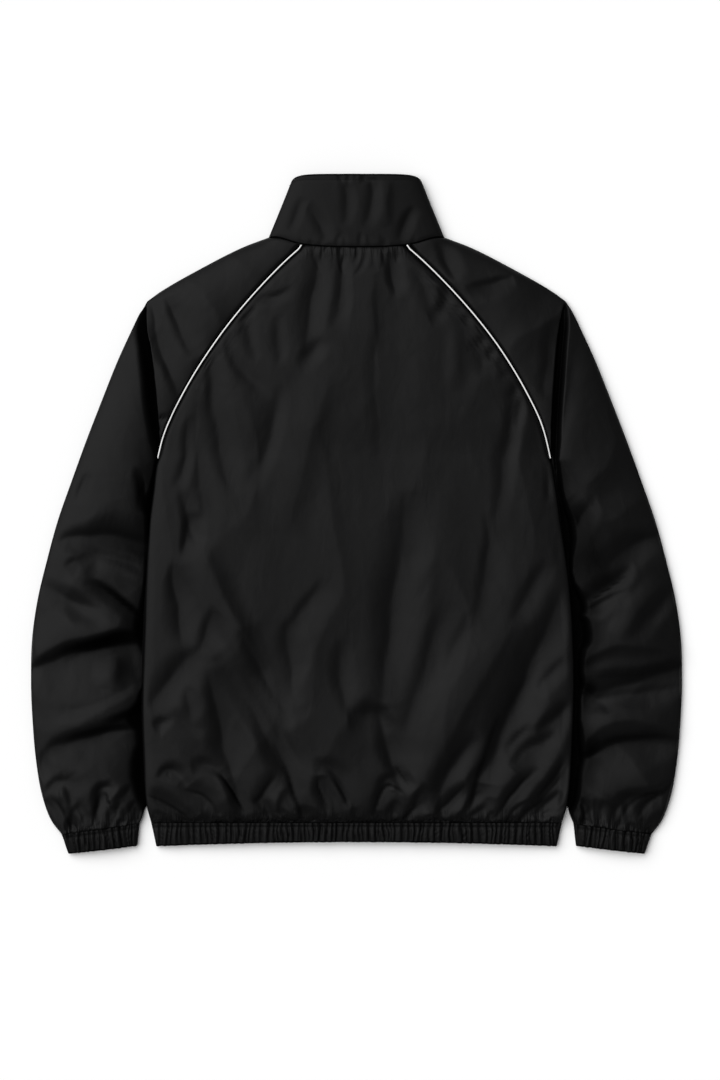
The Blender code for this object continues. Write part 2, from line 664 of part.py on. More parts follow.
def make_tape(name, finish, mirrored):
    """The part of the zip's tape that shows between the front edge and the teeth."""
    outer, inner = [], []
    for y in (HEM_BOTTOM_CENTRE_Y, 0, FRONT_NECK_Y, *TAPE_ROWS, COLLAR_FRONT_TOP_Y - TAPE_TRIM):
        z = zip_lift(0, y) + TAPE_SET
        section = np.array([(TAPE_INNER, y, z), (FRONT_EDGE - SEAM, y, z)])
        outer.append(section)
        inner.append(section + (0, 0, TAPE_WALL))
    return wall(name, outer, inner, finish, mirrored)


def both_sides(face, back):
    """The face, and the same one turned round among the points that start at back."""
    return [face, [back + corner for corner in reversed(face)]]


def box_faces(low, high):
    points = [(x, y, z) for x in (low[0], high[0]) for y in (low[1], high[1]) for z in (low[2], high[2])]
    return points, [(0, 1, 3, 2), (4, 6, 7, 5), (0, 4, 5, 1), (2, 3, 7, 6), (0, 2, 6, 4), (1, 5, 7, 3)]


def make_slider(finish):
    """Two plates on a post, with a bail on the outer plate for the pull."""
    slot_low = SLIDER_BASE + PLATE
    slot_high = slot_low + SLOT
    half, length = PLATE_HALF, SLIDER_HALF_LENGTH
    outer_plate = ((-half, -length, SLIDER_BASE), (half, length, slot_low))
    inner_plate = ((-half, -length, slot_high), (half, length, slot_high + PLATE))
    post = ((-POST_HALF, POST_SET, slot_low - POST_SET), (POST_HALF, length - POST_SET, slot_high + POST_SET))
    parts = []
    for number, (low, high) in enumerate((outer_plate, inner_plate, post)):
        points, faces = box_faces(low, high)
        placed = [(x, y + SLIDER_Y, z) for x, y, z in points]
        parts.append(solid("zip_slider" if number == 0 else f"slider_helper_{number}", placed, faces, finish))
    parts.append(make_bail(finish))
    slider = parts[0]
    for helper in parts[1:]:
        helper.hide_render = True
        helper.display_type = "WIRE"
        union = slider.modifiers.new(helper.name, "BOOLEAN")
        union.operation = "UNION"
        union.object = helper
    return slider


def make_bail(finish):
    """A half ring under the outer plate, round the pull's bar."""
    top = SLIDER_BASE + PLATE / 2
    outline = []
    angles = np.linspace(0, math.pi, BAIL_CORNERS)
    for radius, turn in ((BAIL_ROOM + BAIL_THICK, angles), (BAIL_ROOM, angles[::-1])):
        arc = [(radius * math.cos(angle), AXIS_Z - radius * math.sin(angle)) for angle in turn]
        outline += [(arc[0][0], top)] + arc + [(arc[-1][0], top)]
    points = [(x, SLIDER_Y + y, z) for x in (-BAIL_HALF, BAIL_HALF) for y, z in outline]
    count = len(outline)
    faces = [list(range(count)), list(range(count, 2 * count))]
    faces += [(i, (i + 1) % count, (i + 1) % count + count, i + count) for i in range(count)]
    return solid("slider_helper_bail", points, faces, finish)


def make_pull(finish):
    """A tab with a slot at its top, whose bar lies in the bail. Its origin is on the bail's axis."""
    half_thick = PULL_THICK / 2
    tilt = math.asin((AXIS_Z - half_thick - PULL_END_GAP) / -PULL[-1].y)
    points = []
    for side in (-half_thick, half_thick):
        for row in PULL:
            y = row.y * math.cos(tilt) - side * math.sin(tilt)
            z = row.y * math.sin(tilt) + side * math.cos(tilt)
            for x in (-row.half_width, -PULL_SLOT_HALF, PULL_SLOT_HALF, row.half_width):
                points.append((x, y, z))
    rows, columns = len(PULL), 4
    slot = (1, 1)
    faces = []
    for row in range(rows - 1):
        for column in range(columns - 1):
            if (row, column) != slot:
                corners = ((row, column), (row, column + 1), (row + 1, column + 1), (row + 1, column))
                faces += both_sides([r * columns + c for r, c in corners], rows * columns)
    outline = [(row, 0) for row in range(rows)] + [(rows - 1, column) for column in range(1, columns)]
    outline += [(row, columns - 1) for row in range(rows - 2, -1, -1)]
    outline += [(0, column) for column in range(columns - 2, 0, -1)]
    hole = [(1, 1), (1, 2), (2, 2), (2, 1)]
    for loop in (outline, hole):
        for start, end in zip(loop, loop[1:] + loop[:1]):
            first, second = (row * columns + column for row, column in (start, end))
            faces.append([first, second, rows * columns + second, rows * columns + first])
    pull = solid("zip_pull", points, faces, finish)
    pull.location = (0, SLIDER_Y * MM, AXIS_Z * MM)
    return pull


def main():
    for old in list(bpy.data.objects):
        bpy.data.objects.remove(old)
    shell = material("black_shell", BLACK, 0.55)
    casing = material("black_casing", CASING_BLACK, 0.6)
    cord = material("white_piping", WHITE, 0.5)
    metal = material("dark_metal", METAL, 0.35, 1.0)
    make_back(shell)
    make_front("front_left", shell, mirrored=True)
    make_front("front_right", shell, mirrored=False)
    make_sleeve("sleeve_left", shell, True, LEFT_SLEEVE_FOLDS)
    make_sleeve("sleeve_right", shell, False, RIGHT_SLEEVE_FOLDS)
    make_collar(casing)
    make_hem_band(casing)
    make_cuff("cuff_left", casing, mirrored=True)
    make_cuff("cuff_right", casing, mirrored=False)
    make_piping("piping_left", cord, mirrored=True)
    make_piping("piping_right", cord, mirrored=False)
    make_tape("zip_tape_left", casing, mirrored=True)
    make_tape("zip_tape_right", casing, mirrored=False)
    make_slider(metal)
    make_pull(metal)


main()
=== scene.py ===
"""Dresses a windbreaker that lies flat on its front: creased nylon, gathered casings, piping and a zip."""

import math
from collections import namedtuple
from functools import cache

import bmesh
import bpy
import numpy as np
from bpy.props import FloatProperty, FloatVectorProperty, PointerProperty
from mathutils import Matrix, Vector


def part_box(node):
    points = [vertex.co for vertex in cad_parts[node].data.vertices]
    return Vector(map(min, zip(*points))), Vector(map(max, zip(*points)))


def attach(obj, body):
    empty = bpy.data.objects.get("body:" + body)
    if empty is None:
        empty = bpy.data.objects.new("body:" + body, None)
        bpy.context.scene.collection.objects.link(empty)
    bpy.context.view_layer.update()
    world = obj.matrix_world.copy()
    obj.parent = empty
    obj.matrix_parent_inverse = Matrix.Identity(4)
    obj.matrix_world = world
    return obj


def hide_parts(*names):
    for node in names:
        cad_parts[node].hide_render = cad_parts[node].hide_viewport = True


bl_info = {
    "name": "Windbreaker Laid Flat",
    "version": (1, 0, 0),
    "blender": (4, 5, 0),
    "location": "View3D > Sidebar > Windbreaker",
    "description": "Models the cloth, trims and zip of a windbreaker around its packed frame",
    "category": "Object",
}

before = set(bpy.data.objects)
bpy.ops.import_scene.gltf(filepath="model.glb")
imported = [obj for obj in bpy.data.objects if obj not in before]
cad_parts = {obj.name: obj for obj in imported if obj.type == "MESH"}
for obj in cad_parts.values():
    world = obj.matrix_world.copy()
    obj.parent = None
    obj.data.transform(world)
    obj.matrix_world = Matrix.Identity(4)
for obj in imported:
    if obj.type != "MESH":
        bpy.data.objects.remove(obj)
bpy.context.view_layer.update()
MM = 0.001
SIDES = {"left": -1, "right": 1}  # the sign of x on each side
Sides = namedtuple("Sides", "left right")


def node_box(node):
    """A node's lowest and highest corner in millimetres."""
    low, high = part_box(node)
    return np.array(low) / MM, np.array(high) / MM


# Heights and widths that come from the frame, in millimetres
COLLAR_LOW, COLLAR_HIGH = node_box("collar")
HEM_LOW, HEM_HIGH = node_box("hem_band")
TAPE_LOW, TAPE_HIGH = node_box("zip_tape_right")

# Lengths and heights in millimetres, and shares
SEAM = 0.3
NECK_Y = 322.8
UNDERARM_Y = 69.5
HEM_Y = round(HEM_HIGH[1] + SEAM / 2, 1)
FRONT_NECK_Y = round(COLLAR_LOW[1] - SEAM / 2, 1)
FRONT_EDGE = 5.0
BACK_HALF = 257.0  # half the back's greatest width
FOLD_Z = 3.5  # height of a folded edge's top
FOLD_REACH = 6.0
LIFT_REACH = 30.0
PIPING_GROOVE = 0.9  # the dark groove on either side of the piping
PIPING_SINK = 0.05  # how far the piping's middle lies below the seam's top
PIPING_SIDES = 14
RIB_PAINTED_SHADE = 0.9  # how dark the painted shade in the casings' deepest valleys is
NIP = 1.2  # how far a pinch draws the cloth in
PAINTED_OUTLINE_WIDTH = 1.1  # width of the painted shade along the folded outer edges
PLEAT_FADE = 7.0  # how fast the fine pleats fade away from a gathered seam
SHELL_EDGE = 1.65  # half the depth of a seam edge where two panels meet one over the other
SEAM_DIP = 2.0  # how far the cloth dips to the raglan seam
SEAM_DIP_REACH = 2.2
UNDER_DEPTH = 3.0  # how far the creases on a sleeve's underside stand up
TIP_RUN, TIP_STEP = 16.0, 0.9  # the finer rows below the shoulder's tip, and their spacing

# Body sections from the neck along the raglan seam to the underarm, then down the side to the hem
BodyRow = namedtuple("BodyRow", "y half_width top bottom crown round")
BODY = (
    BodyRow(NECK_Y, 63.0, 16.2, 0.0, 1.8, 2.0),
    BodyRow(300.6, 87.5, 16.8, 0.0, 3.5, 2.0),
    BodyRow(262.2, 124.2, 17.4, 0.0, 5.5, 2.0),
    BodyRow(223.8, 156.2, 17.6, 0.0, 7.0, 2.0),
    BodyRow(185.4, 183.2, 17.2, 0.0, 8.0, 2.0),
    BodyRow(147.0, 205.8, 16.0, 0.5, 9.5, 1.9),
    BodyRow(108.6, 224.2, 14.0, 3.0, 11.5, 1.6),
    BodyRow(UNDERARM_Y, 234.8, 11.3, 8.0, 14.0, 1.2),
    BodyRow(39.0, 238.8, 11.3, 8.0, 15.0, 1.0),
    BodyRow(5.4, 243.3, 11.3, 8.0, 16.0, 0.9),
    BodyRow(-72.6, 251.7, 11.3, 8.0, 17.5, 0.85),
    BodyRow(-138.6, 255.6, 11.3, 8.0, 18.0, 0.8),
    BodyRow(-222.6, 257.5, 11.3, 8.0, 18.0, 0.8),
    BodyRow(-282.6, 255.6, 10.8, 7.5, 17.0, 0.75),
    BodyRow(-342.6, 252.0, 9.6, 5.2, 16.4, 0.7),
    BodyRow(-359.0, 248.6, 7.6, 3.6, 13.4, 0.55),
    BodyRow(HEM_Y, 246.0, 5.4, 2.1, 8.1, 0.35),
)
Point = namedtuple("Point", "x y")
NECK = (Point(0.0, 319.2), Point(38.6, 320.0), Point(69.0, 323.6), Point(95.0, 331.3), Point(105.0, 332.0))
# How far the body lies over to the right at the height y
Shift = namedtuple("Shift", "y x")
BODY_SHIFTS = (
    Shift(66.0, -2.4), Shift(45.0, -2.4), Shift(28.0, -1.8), Shift(-7.0, -1.8), Shift(-31.0, -0.6),
    Shift(-79.0, 1.2), Shift(-127.0, 2.6), Shift(-175.0, 2.7), Shift(-235.0, 1.7), Shift(-300.0, 1.4),
    Shift(-345.0, 0.6), Shift(HEM_Y, 0.0),
)
BODY_SPREAD = 0.6
# How much further to the right each raglan seam lies, from the underarm up
RAGLAN_SHIFTS = Sides(
    left=(
        Shift(69.5, 0.0), Shift(90.0, 0.4), Shift(113.0, 1.8), Shift(150.0, 2.3), Shift(200.0, 3.1),
        Shift(320.0, 2.7),
    ),
    right=(
        Shift(56.0, 0.0), Shift(70.0, -1.0), Shift(113.0, -0.7), Shift(200.0, -0.8),
        Shift(257.0, -1.8), Shift(320.0, -3.2),
    ),
)
NECK_REACH = 60.0
SHOULDER = (
    Point(105.0, 332.0), Point(136.8, 319.8), Point(184.2, 295.8), Point(234.6, 267.0), Point(250.5, 255.5),
)
SHOULDER_SPREAD = 0.8

# Arm sections from the underarm seam to the outer fold, from the shoulder tip to the cuff
ArmRow = namedtuple("ArmRow", "x y edge outer_x outer_y crown full")
ARM = (
    ArmRow(236.7, 69.5, 9.65, 250.5, 255.5, 7.0, 0.0),
    ArmRow(236.9, 65.0, 9.1, 258.6, 243.0, 9.0, 0.0),
    ArmRow(237.4, 57.5, 8.0, 269.0, 221.6, 9.1, 0.0),
    ArmRow(238.6, 48.0, 6.8, 285.6, 185.4, 11.2, 0.0),
    ArmRow(240.4, 32.0, 5.2, 304.8, 137.4, 12.6, 0.0),
    ArmRow(241.4, 8.0, 3.6, 323.4, 89.4, 13.6, 0.0),
    ArmRow(243.0, -24.0, 2.6, 340.8, 41.4, 14.3, 0.0),
    ArmRow(246.0, -66.0, 1.9, 357.6, -6.6, 14.7, 0.0),
    ArmRow(248.6, -110.0, 1.65, 370.8, -54.6, 14.7, 0.0),
    ArmRow(250.5, -156.0, 1.65, 382.2, -102.6, 14.7, 0.0),
    ArmRow(251.5, -202.0, 1.65, 388.8, -150.6, 14.7, 0.0),
    ArmRow(252.0, -244.0, 1.65, 390.0, -200.0, 14.3, 0.0),
    ArmRow(251.5, -282.0, 1.65, 388.2, -246.6, 14.0, 0.0),
    ArmRow(252.2, -314.0, 1.65, 384.0, -294.6, 12.9, 0.0),
    ArmRow(253.0, -338.0, 2.0, 377.0, -335.0, 16.0, 0.3),
    ArmRow(255.0, -357.0, 2.9, 366.0, -366.0, 13.0, 0.8),
    ArmRow(259.8, -369.6, FOLD_Z, 353.4, -383.0, 10.5, 1.0),
)
# How far out from the body's edge the arm's cloth is tucked in, at the height y
Gap = namedtuple("Gap", "y width")
GAPS = Sides(
    left=(
        Gap(69.5, 0.0), Gap(45.0, 1.0), Gap(30.0, 3.0), Gap(20.0, 8.0), Gap(5.0, 9.0), Gap(-5.0, 3.0),
        Gap(-20.0, 2.0), Gap(-45.0, 1.0), Gap(-60.0, 0.5), Gap(-85.0, 0.5), Gap(-100.0, 3.0),
        Gap(-112.0, 6.0), Gap(-122.0, 10.0), Gap(-135.0, 13.0), Gap(-150.0, 11.0), Gap(-160.0, 4.0),
        Gap(-172.0, -4.0), Gap(-205.0, -4.0), Gap(-214.0, 1.0), Gap(-224.0, 4.0), Gap(-234.0, 12.0),
        Gap(-244.0, 22.0), Gap(-252.0, 17.0), Gap(-262.0, 9.0), Gap(-275.0, 8.0), Gap(-286.0, 13.0),
        Gap(-297.0, 17.0), Gap(-315.0, 18.0), Gap(-330.0, 15.0), Gap(-345.0, 10.0), Gap(-369.6, 1.6),
    ),
    right=(
        Gap(69.5, 7.0), Gap(50.0, 6.5), Gap(32.0, 5.0), Gap(17.0, 6.0), Gap(5.0, 9.0), Gap(-7.0, 14.0),
        Gap(-20.0, 15.0), Gap(-31.0, 13.0), Gap(-45.0, 8.0), Gap(-55.0, 5.0), Gap(-70.0, 3.0),
        Gap(-84.0, 5.0), Gap(-94.0, 13.0), Gap(-103.0, 19.0), Gap(-115.0, 20.0), Gap(-121.0, 15.0),
        Gap(-127.0, 21.0), Gap(-140.0, 23.0), Gap(-152.0, 21.0), Gap(-160.0, 13.0), Gap(-175.0, 9.5),
        Gap(-190.0, 9.0), Gap(-199.0, 12.0), Gap(-208.0, 9.0), Gap(-223.0, 6.0), Gap(-247.0, 5.0),
        Gap(-258.0, 8.0), Gap(-271.0, 11.0), Gap(-285.0, 14.0), Gap(-295.0, 17.0), Gap(-306.0, 14.0),
        Gap(-319.0, 13.0), Gap(-343.0, 11.0), Gap(-360.0, 5.0), Gap(-369.6, 1.8),
    ),
)
GAP_FLOOR = 2.0  # height of the cloth at the bottom of the gap
# The deep fold below each shoulder's tip, as points from the underarm up
SHOULDER_FOLDS = Sides(
    left=(
        Point(233.4, 69.5), Point(240.3, 155.0), Point(245.9, 199.0), Point(250.2, 222.0),
        Point(251.2, 255.5),
    ),
    right=(
        Point(232.0, 69.5), Point(232.8, 110.0), Point(235.6, 155.0), Point(242.6, 227.0),
        Point(249.0, 255.5),
    ),
)
SHOULDER_TAPER = Sides(0.35, 0.1)  # the share by which the fold narrows towards the underarm
SHOULDER_GAP = Sides(16.0, 11.0)  # the fold's width
SLEEVE_SKEW = Sides(0.0, 0.32)  # how much higher the arm's crown lies on its inner side than on its outer
WALL_RUN = Sides(0.95, 0.5)  # the share of the gap over which the arm stands up
RIM_PAINTED_SHADE = Sides(0.3, 0.7)  # how dark the painted shade on the arm beside the gap is
# how far out from the gap the painted rim shade fades
PAINTED_RIM_REACH = 26.0
PAINTED_SHADE_BLUR = 5.0  # half the width over which the painted shade of a tuck ends

# Collar and casings
CASING_HEIGHT, CASING_STITCH = 26.0, 5.5  # the height and the stitch row of the hem's and cuffs' casings
CASING_WALL, CUFF_WALL = 2.2, 2.0
FOLD_STEPS = 4  # rows round the fold at a casing's free edge
COLLAR_BASE = COLLAR_HIGH[0]
COLLAR_TOP = 78.4
COLLAR_CORNER_Y = 396.6
COLLAR_TOP_Y = COLLAR_HIGH[1]
COLLAR_FRONT_TOP_Y = 388.0
COLLAR_RISE = 14.5
COLLAR_HEIGHT, COLLAR_STITCH = 84.0, 78.0
COLLAR_ROUND = 0.3
HEM_BOTTOM_HALF = 240.0
HEM_BOTTOM_Y = HEM_LOW[1]
HEM_BOTTOM_CENTRE_Y = HEM_LOW[1] + 5.4
HEM_ROUND = BODY[-1].round / 2
HEM_RISE = BODY[-1].top + BODY[-1].crown - FOLD_Z
CUFF_SEAM = ((259.8, -369.6), (353.4, -383.0))
CUFF_END = ((262.8, -397.2), (345.6, -406.8))
CUFF_RISE = 10.5
CUFF_ROUND = 0.3
ZIP_LIFT = 1.2
TOOTH = (2.5 * MM, 1.05 * MM, 1.5 * MM)  # the size of a zip's tooth
TOOTH_PITCH = 2.5  # between the teeth of one tape
TOOTH_OFFSET = 0.75  # how far a tooth stands to its tape's side
ZIP_BOX = (6.4, 6.5, 2.0)  # the size of the box that ends the teeth
TAPE_INSET, TAPE_WALL = 1.4, 0.7
SLIDER_LIFT = 4.2
LIFT_FLAT = 10.0
LIFT_END = 32.0

# Creases run from the first point through the second to the third. left and right are their widths on either
# side of that way, in millimetres, depth is how far their line stands out (in, below 0), and flare makes them
# wider towards the third point (or towards the first, below 0). The cloth drops steeply on the sides that
# look along LEAN and swells softly on the others.
LEAN = (0.83, -0.56)
SOFT_SIDE = 1.3  # how much wider the soft side is than the steep one would be
SOFT_RUN = 6.5  # the soft side is at least this many times as wide as the crease is deep
SOFT_MOST = 4.5  # and no wider than this many times its own width
Crease = namedtuple("Crease", "x1 y1 x2 y2 x3 y3 left right depth flare", defaults=(0.0,))
BODY_CREASES = (
    # left side, running down to the hem
    Crease(-190, -30, -160, -98, -114, -186, 27, 20, 5.2, -0.2),
    Crease(-140, -140, -112, -194, -72, -252, 15, 20, -6.6),
    Crease(-166, -160, -116, -238, -62, -326, 10, 9, 2.6),
    Crease(-172, -168, -114, -254, -58, -366, 9, 22, -7.5),
    Crease(-217, -58, -217, -112, -206, -162, 26, 17, -5.0, 0.5),
    Crease(-188, -158, -214, -184, -252, -232, 30, 24, -5.0),
    Crease(-168, -112, -180, -134, -191, -168, 24, 12, -3.0),
    Crease(-180, -186, -164, -262, -134, -362, 12, 20, -6.2, 0.1),
    Crease(-204, -206, -202, -228, -192, -246, 14, 10, -2.2),
    Crease(-221, -232, -202, -250, -180, -262, 14, 14, -2.0),
    Crease(-167, -308, -152, -331, -134, -362, 6, 8, -2.8),
    Crease(-236, -318, -223, -305, -200, -324, 10, 9, -3.5),
    Crease(-210, -320, -190, -338, -166, -364, 8, 11, -3.8),
    Crease(-196, -296, -176, -300, -160, -318, 8, 10, -3.0),
    Crease(-254, -330, -226, -343, -196, -364, 8, 9, -3.4),
    Crease(-243, -250, -231, -246, -222, -250, 7, 6, -3.0),
    Crease(-98, -304, -110, -326, -124, -350, 8, 15, -3.4),
    Crease(-122, -338, -113, -350, -102, -366, 7, 7, -2.8),
    Crease(-90, -328, -88, -342, -90, -360, 7, 7, -2.8),
    Crease(-56, -298, -28, -306, -8, -352, 8, 8, -3.2),
    Crease(-47, -312, -44, -334, -36, -362, 9, 11, -4.0),
    Crease(-196, 2, -200, -22, -208, -48, 7, 9, -3.5),
    # middle
    Crease(-41, -76, -60, -104, -88, -142, 26, 9, -2.0),
    Crease(-84, -128, -82, -180, -70, -226, 26, 17, -3.4),
    Crease(-24, -150, -20, -200, -10, -246, 12, 14, -2.6),
    Crease(-12, -243, 12, -238, 34, -229, 22, 8, -5.5),
    Crease(24, -226, 35, -276, 53, -332, 14, 16, -6.0),
    Crease(45, -303, 54, -313, 58, -324, 3, 5, -1.6),
    Crease(60, -334, 34, -318, 17, -364, 8, 8, -3.2),
    Crease(48, -340, 40, -350, 34, -364, 6, 7, -2.6),
    Crease(82, -318, 71, -338, 60, -366, 9, 9, -3.6),
    Crease(-28, 178, -54, 90, -80, -26, 34, 40, 3.2),
    Crease(64, 30, 42, -110, 26, -236, 34, 36, -6.5),
    Crease(104, -104, 80, -176, 52, -262, 26, 18, -2.4),
    # right side, the broad band and its neighbours
    Crease(248, -88, 198, -194, 132, -356, 9, 30, -9.5, -0.2),
    Crease(192, -120, 128, -232, 76, -348, 34, 44, 6.0),
    Crease(144, -262, 113, -302, 86, -360, 10, 26, -7.5),
    Crease(166, -264, 140, -300, 98, -352, 12, 10, 3.5),
    Crease(146, -318, 141, -338, 134, -362, 10, 13, -4.6),
    Crease(156, -338, 150, -352, 132, -366, 6, 8, -2.8),
    Crease(130, -318, 112, -336, 94, -358, 8, 11, -3.8),
    Crease(256, -222, 237, -240, 210, -260, 9, 12, -5.5),
    Crease(238, -262, 208, -278, 182, -302, 9, 14, -6.0),
    Crease(206, -250, 192, -268, 176, -284, 8, 10, -3.5),
    Crease(219, -299, 190, -324, 162, -368, 8, 12, -4.0),
    Crease(260, -286, 230, -326, 196, -368, 12, 16, -7.5),
    Crease(246, -334, 226, -348, 206, -366, 7, 9, -3.2),
    Crease(156, 6, 157, -58, 136, -124, 22, 12, -2.4),
    Crease(228, -54, 206, -88, 182, -132, 20, 15, -2.6),
    Crease(128, -118, 120, -150, 104, -186, 18, 12, -1.4),
    Crease(246, -172, 232, -190, 214, -214, 9, 12, -3.0),
    # upper back
    Crease(-43, 322, -49, 268, -60, 186, 17, 22, -3.2),
    Crease(-11, 322, -14, 300, -24, 218, 12, 15, -2.2),
    Crease(44, 322, 44, 296, 50, 262, 9, 10, -2.9),
    Crease(70, 300, 84, 270, 92, 236, 12, 14, -1.6),
    Crease(-36, 214, -52, 196, -72, 182, 8, 12, -2.4),
    Crease(-176, 202, -169, 116, -144, 22, 9, 17, -3.7),
    Crease(-160, 218, -142, 178, -102, 142, 10, 11, -2.2),
    Crease(-97, 154, -100, 104, -126, 28, 10, 28, -2.7),
    Crease(-199, 118, -205, 64, -216, 30, 10, 10, -2.2),
    Crease(-210, 26, -201, 2, -190, -36, 9, 9, -2.4),
    Crease(-190, 150, -186, 50, -178, -40, 24, 18, -2.2),
    Crease(-134, 246, -128, 218, -118, 184, 9, 11, -1.6),
    Crease(-95, 238, -92, 210, -92, 180, 10, 12, -1.7),
    Crease(-126, 260, -102, 263, -78, 272, 6, 9, -2.0),
    Crease(113, 266, 106, 248, 88, 238, 7, 10, -2.6),
    Crease(162, 216, 155, 190, 156, 162, 8, 20, -2.4),
    Crease(122, 232, 121, 200, 122, 150, 20, 12, 1.6),
    Crease(192, 168, 182, 88, 168, -10, 12, 15, -2.7),
    Crease(202, 152, 197, 126, 195, 100, 8, 9, -1.7),
    Crease(234, 60, 230, 40, 226, 14, 6, 8, -1.7),
    Crease(30, 300, 26, 180, 34, 60, 44, 16, -1.6),
)
LEFT_SLEEVE_CREASES = (
    Crease(-247, 256, -232, 196, -209, 136, 9, 13, -4.7),
    Crease(-226, 262, -208, 214, -194, 186, 9, 12, -4.2),
    Crease(-241, 117, -233, 117, -225, 117, 3, 4, -1.5),
    Crease(-239, 110, -236, 104, -232, 98, 3, 3, -1.0),
    Crease(-322, 52, -330, 32, -336, 14, 8, 9, -1.9),
    Crease(-362, -36, -305, -24, -205, -56, 30, 18, -9.5, 0.6),
    Crease(-350, -36, -300, -52, -230, -66, 12, 10, -3.1),
    Crease(-352, -64, -333, -56, -318, -80, 9, 16, -3.4),
    Crease(-324, -62, -290, -76, -240, -106, 10, 9, -3.4),
    Crease(-326, -78, -290, -105, -225, -146, 14, 9, -6.5, 0.2),
    Crease(-352, -74, -310, -106, -262, -132, 10, 14, 2.5),
    Crease(-382, -84, -336, -103, -282, -125, 12, 9, -4.7),
    Crease(-396, -184, -318, -142, -215, -134, 34, 14, 5.1),
    Crease(-396, -188, -318, -162, -215, -154, 20, 24, -9.8, 0.4),
    Crease(-291, -170, -289, -190, -293, -212, 24, 8, 3.8),
    Crease(-356, -232, -306, -225, -230, -188, 13, 8, -3.4),
    Crease(-356, -250, -304, -233, -230, -196, 9, 12, 3.0),
    Crease(-362, -276, -312, -250, -215, -206, 24, 14, 4.2),
    Crease(-372, -284, -302, -262, -230, -262, 20, 12, -8.5, 0.4),
    Crease(-368, -282, -374, -298, -368, -320, 9, 10, -2.5),
    Crease(-375, -340, -350, -320, -336, -372, 9, 10, -4.4),
    Crease(-374, -342, -366, -352, -358, -370, 7, 7, -3.8),
    Crease(-288, -334, -309, -332, -305, -372, 9, 10, -6.5),
    Crease(-279, -344, -286, -354, -292, -372, 7, 8, -5.1),
    Crease(-262, -340, -270, -354, -280, -372, 8, 8, -5.5),
    Crease(-268, -322, -276, -334, -290, -344, 8, 9, -4.2),
)
RIGHT_SLEEVE_CREASES = (
    Crease(98, 326, 106, 302, 118, 282, 9, 9, -3.2),
    Crease(130, 270, 156, 274, 188, 283, 9, 8, -3.2),
    Crease(236, 236, 230, 186, 226, 130, 14, 16, -2.4),
    Crease(288, 16, 271, 0, 256, -34, 14, 18, -3.4),
    Crease(276, 14, 314, -12, 374, -22, 34, 26, 2.6),
    Crease(296, -70, 330, -38, 374, -25, 24, 12, -5.2, -0.3),
    Crease(256, -122, 292, -90, 330, -62, 18, 6, -5.2, -0.2),
    Crease(268, -124, 296, -104, 326, -90, 6, 6, -2.6),
    Crease(314, -150, 340, -110, 368, -76, 16, 22, 3.2),
    Crease(330, -150, 356, -112, 386, -86, 14, 12, -2.9),
    Crease(250, -194, 310, -158, 398, -172, 30, 14, 4.4),
    Crease(240, -222, 322, -204, 398, -181, 24, 14, -8.4, -0.3),
    Crease(262, -216, 288, -222, 304, -238, 9, 8, -4.0),
    Crease(300, -216, 340, -216, 390, -208, 10, 14, -2.1),
    Crease(256, -292, 318, -244, 392, -272, 22, 13, 3.6),
    Crease(240, -318, 312, -274, 394, -270, 20, 11, -7.8, -0.3),
    Crease(306, -374, 317, -344, 362, -330, 10, 9, -6.0),
    Crease(324, -374, 347, -342, 386, -320, 9, 8, -5.2),
    Crease(340, -382, 358, -362, 380, -350, 8, 7, -4.8),
    Crease(270, -336, 272, -350, 270, -370, 7, 8, -4.8),
    Crease(296, -340, 293, -352, 290, -370, 7, 7, -4.4),
    Crease(282, -334, 281, -350, 278, -370, 5, 5, 3.0),
)
COLLAR_CREASES = (
    Crease(-59, 369, -45, 352, -35, 326, 10, 12, -2.4),
    Crease(71, 370, 58, 352, 47, 326, 12, 10, -2.4),
    Crease(-22, 404, -12, 380, -14, 345, 10, 12, -1.8),
    Crease(12, 404, 18, 378, 12, 340, 10, 12, -1.8),
    Crease(-82, 340, -74, 360, -64, 380, 10, 8, -1.6),
    Crease(40, 400, 34, 370, 38, 345, 10, 12, 1.6),
)
FRONT_CREASES = (
    Crease(60, -330, 110, -240, 180, -150, 14, 18, 4.4),
    Crease(215, -300, 170, -230, 140, -180, 12, 14, 3.4),
    Crease(40, 260, 60, 150, 52, 60, 14, 12, 3.2),
    Crease(150, 190, 130, 90, 140, -20, 16, 18, 3.8),
    Crease(90, -20, 75, -100, 90, -190, 14, 16, 3.2),
    Crease(212, 40, 200, -60, 214, -160, 14, 16, 3.0),
    Crease(30, -180, 50, -260, 70, -350, 10, 12, 3.6),
    Crease(120, -366, 140, -330, 170, -300, 7, 8, 2.8),
    Crease(200, -366, 214, -336, 236, -312, 7, 8, 2.6),
    Crease(86, -366, 80, -340, 84, -316, 6, 7, 2.4),
    Crease(170, 130, 190, 80, 222, 40, 10, 12, 2.6),
    Crease(-48, 250, -66, 170, -60, 90, 12, 14, 3.4),
    Crease(-120, 220, -104, 120, -118, 20, 14, 18, 3.8),
    Crease(-190, 120, -176, 20, -190, -90, 14, 14, 3.2),
    Crease(-64, 10, -90, -90, -76, -190, 16, 12, 3.6),
    Crease(-230, -60, -170, -130, -120, -230, 14, 18, 4.4),
    Crease(-60, -210, -110, -280, -150, -362, 12, 18, 4.4),
    Crease(-200, -180, -186, -260, -200, -350, 10, 14, 3.4),
    Crease(-36, -300, -44, -330, -40, -366, 7, 8, 2.8),
    Crease(-236, -310, -222, -340, -206, -366, 7, 8, 2.6),
    Crease(-110, -330, -104, -348, -96, -366, 6, 7, 2.4),
    Crease(-150, -90, -136, -130, -110, -160, 10, 12, 2.4),
)
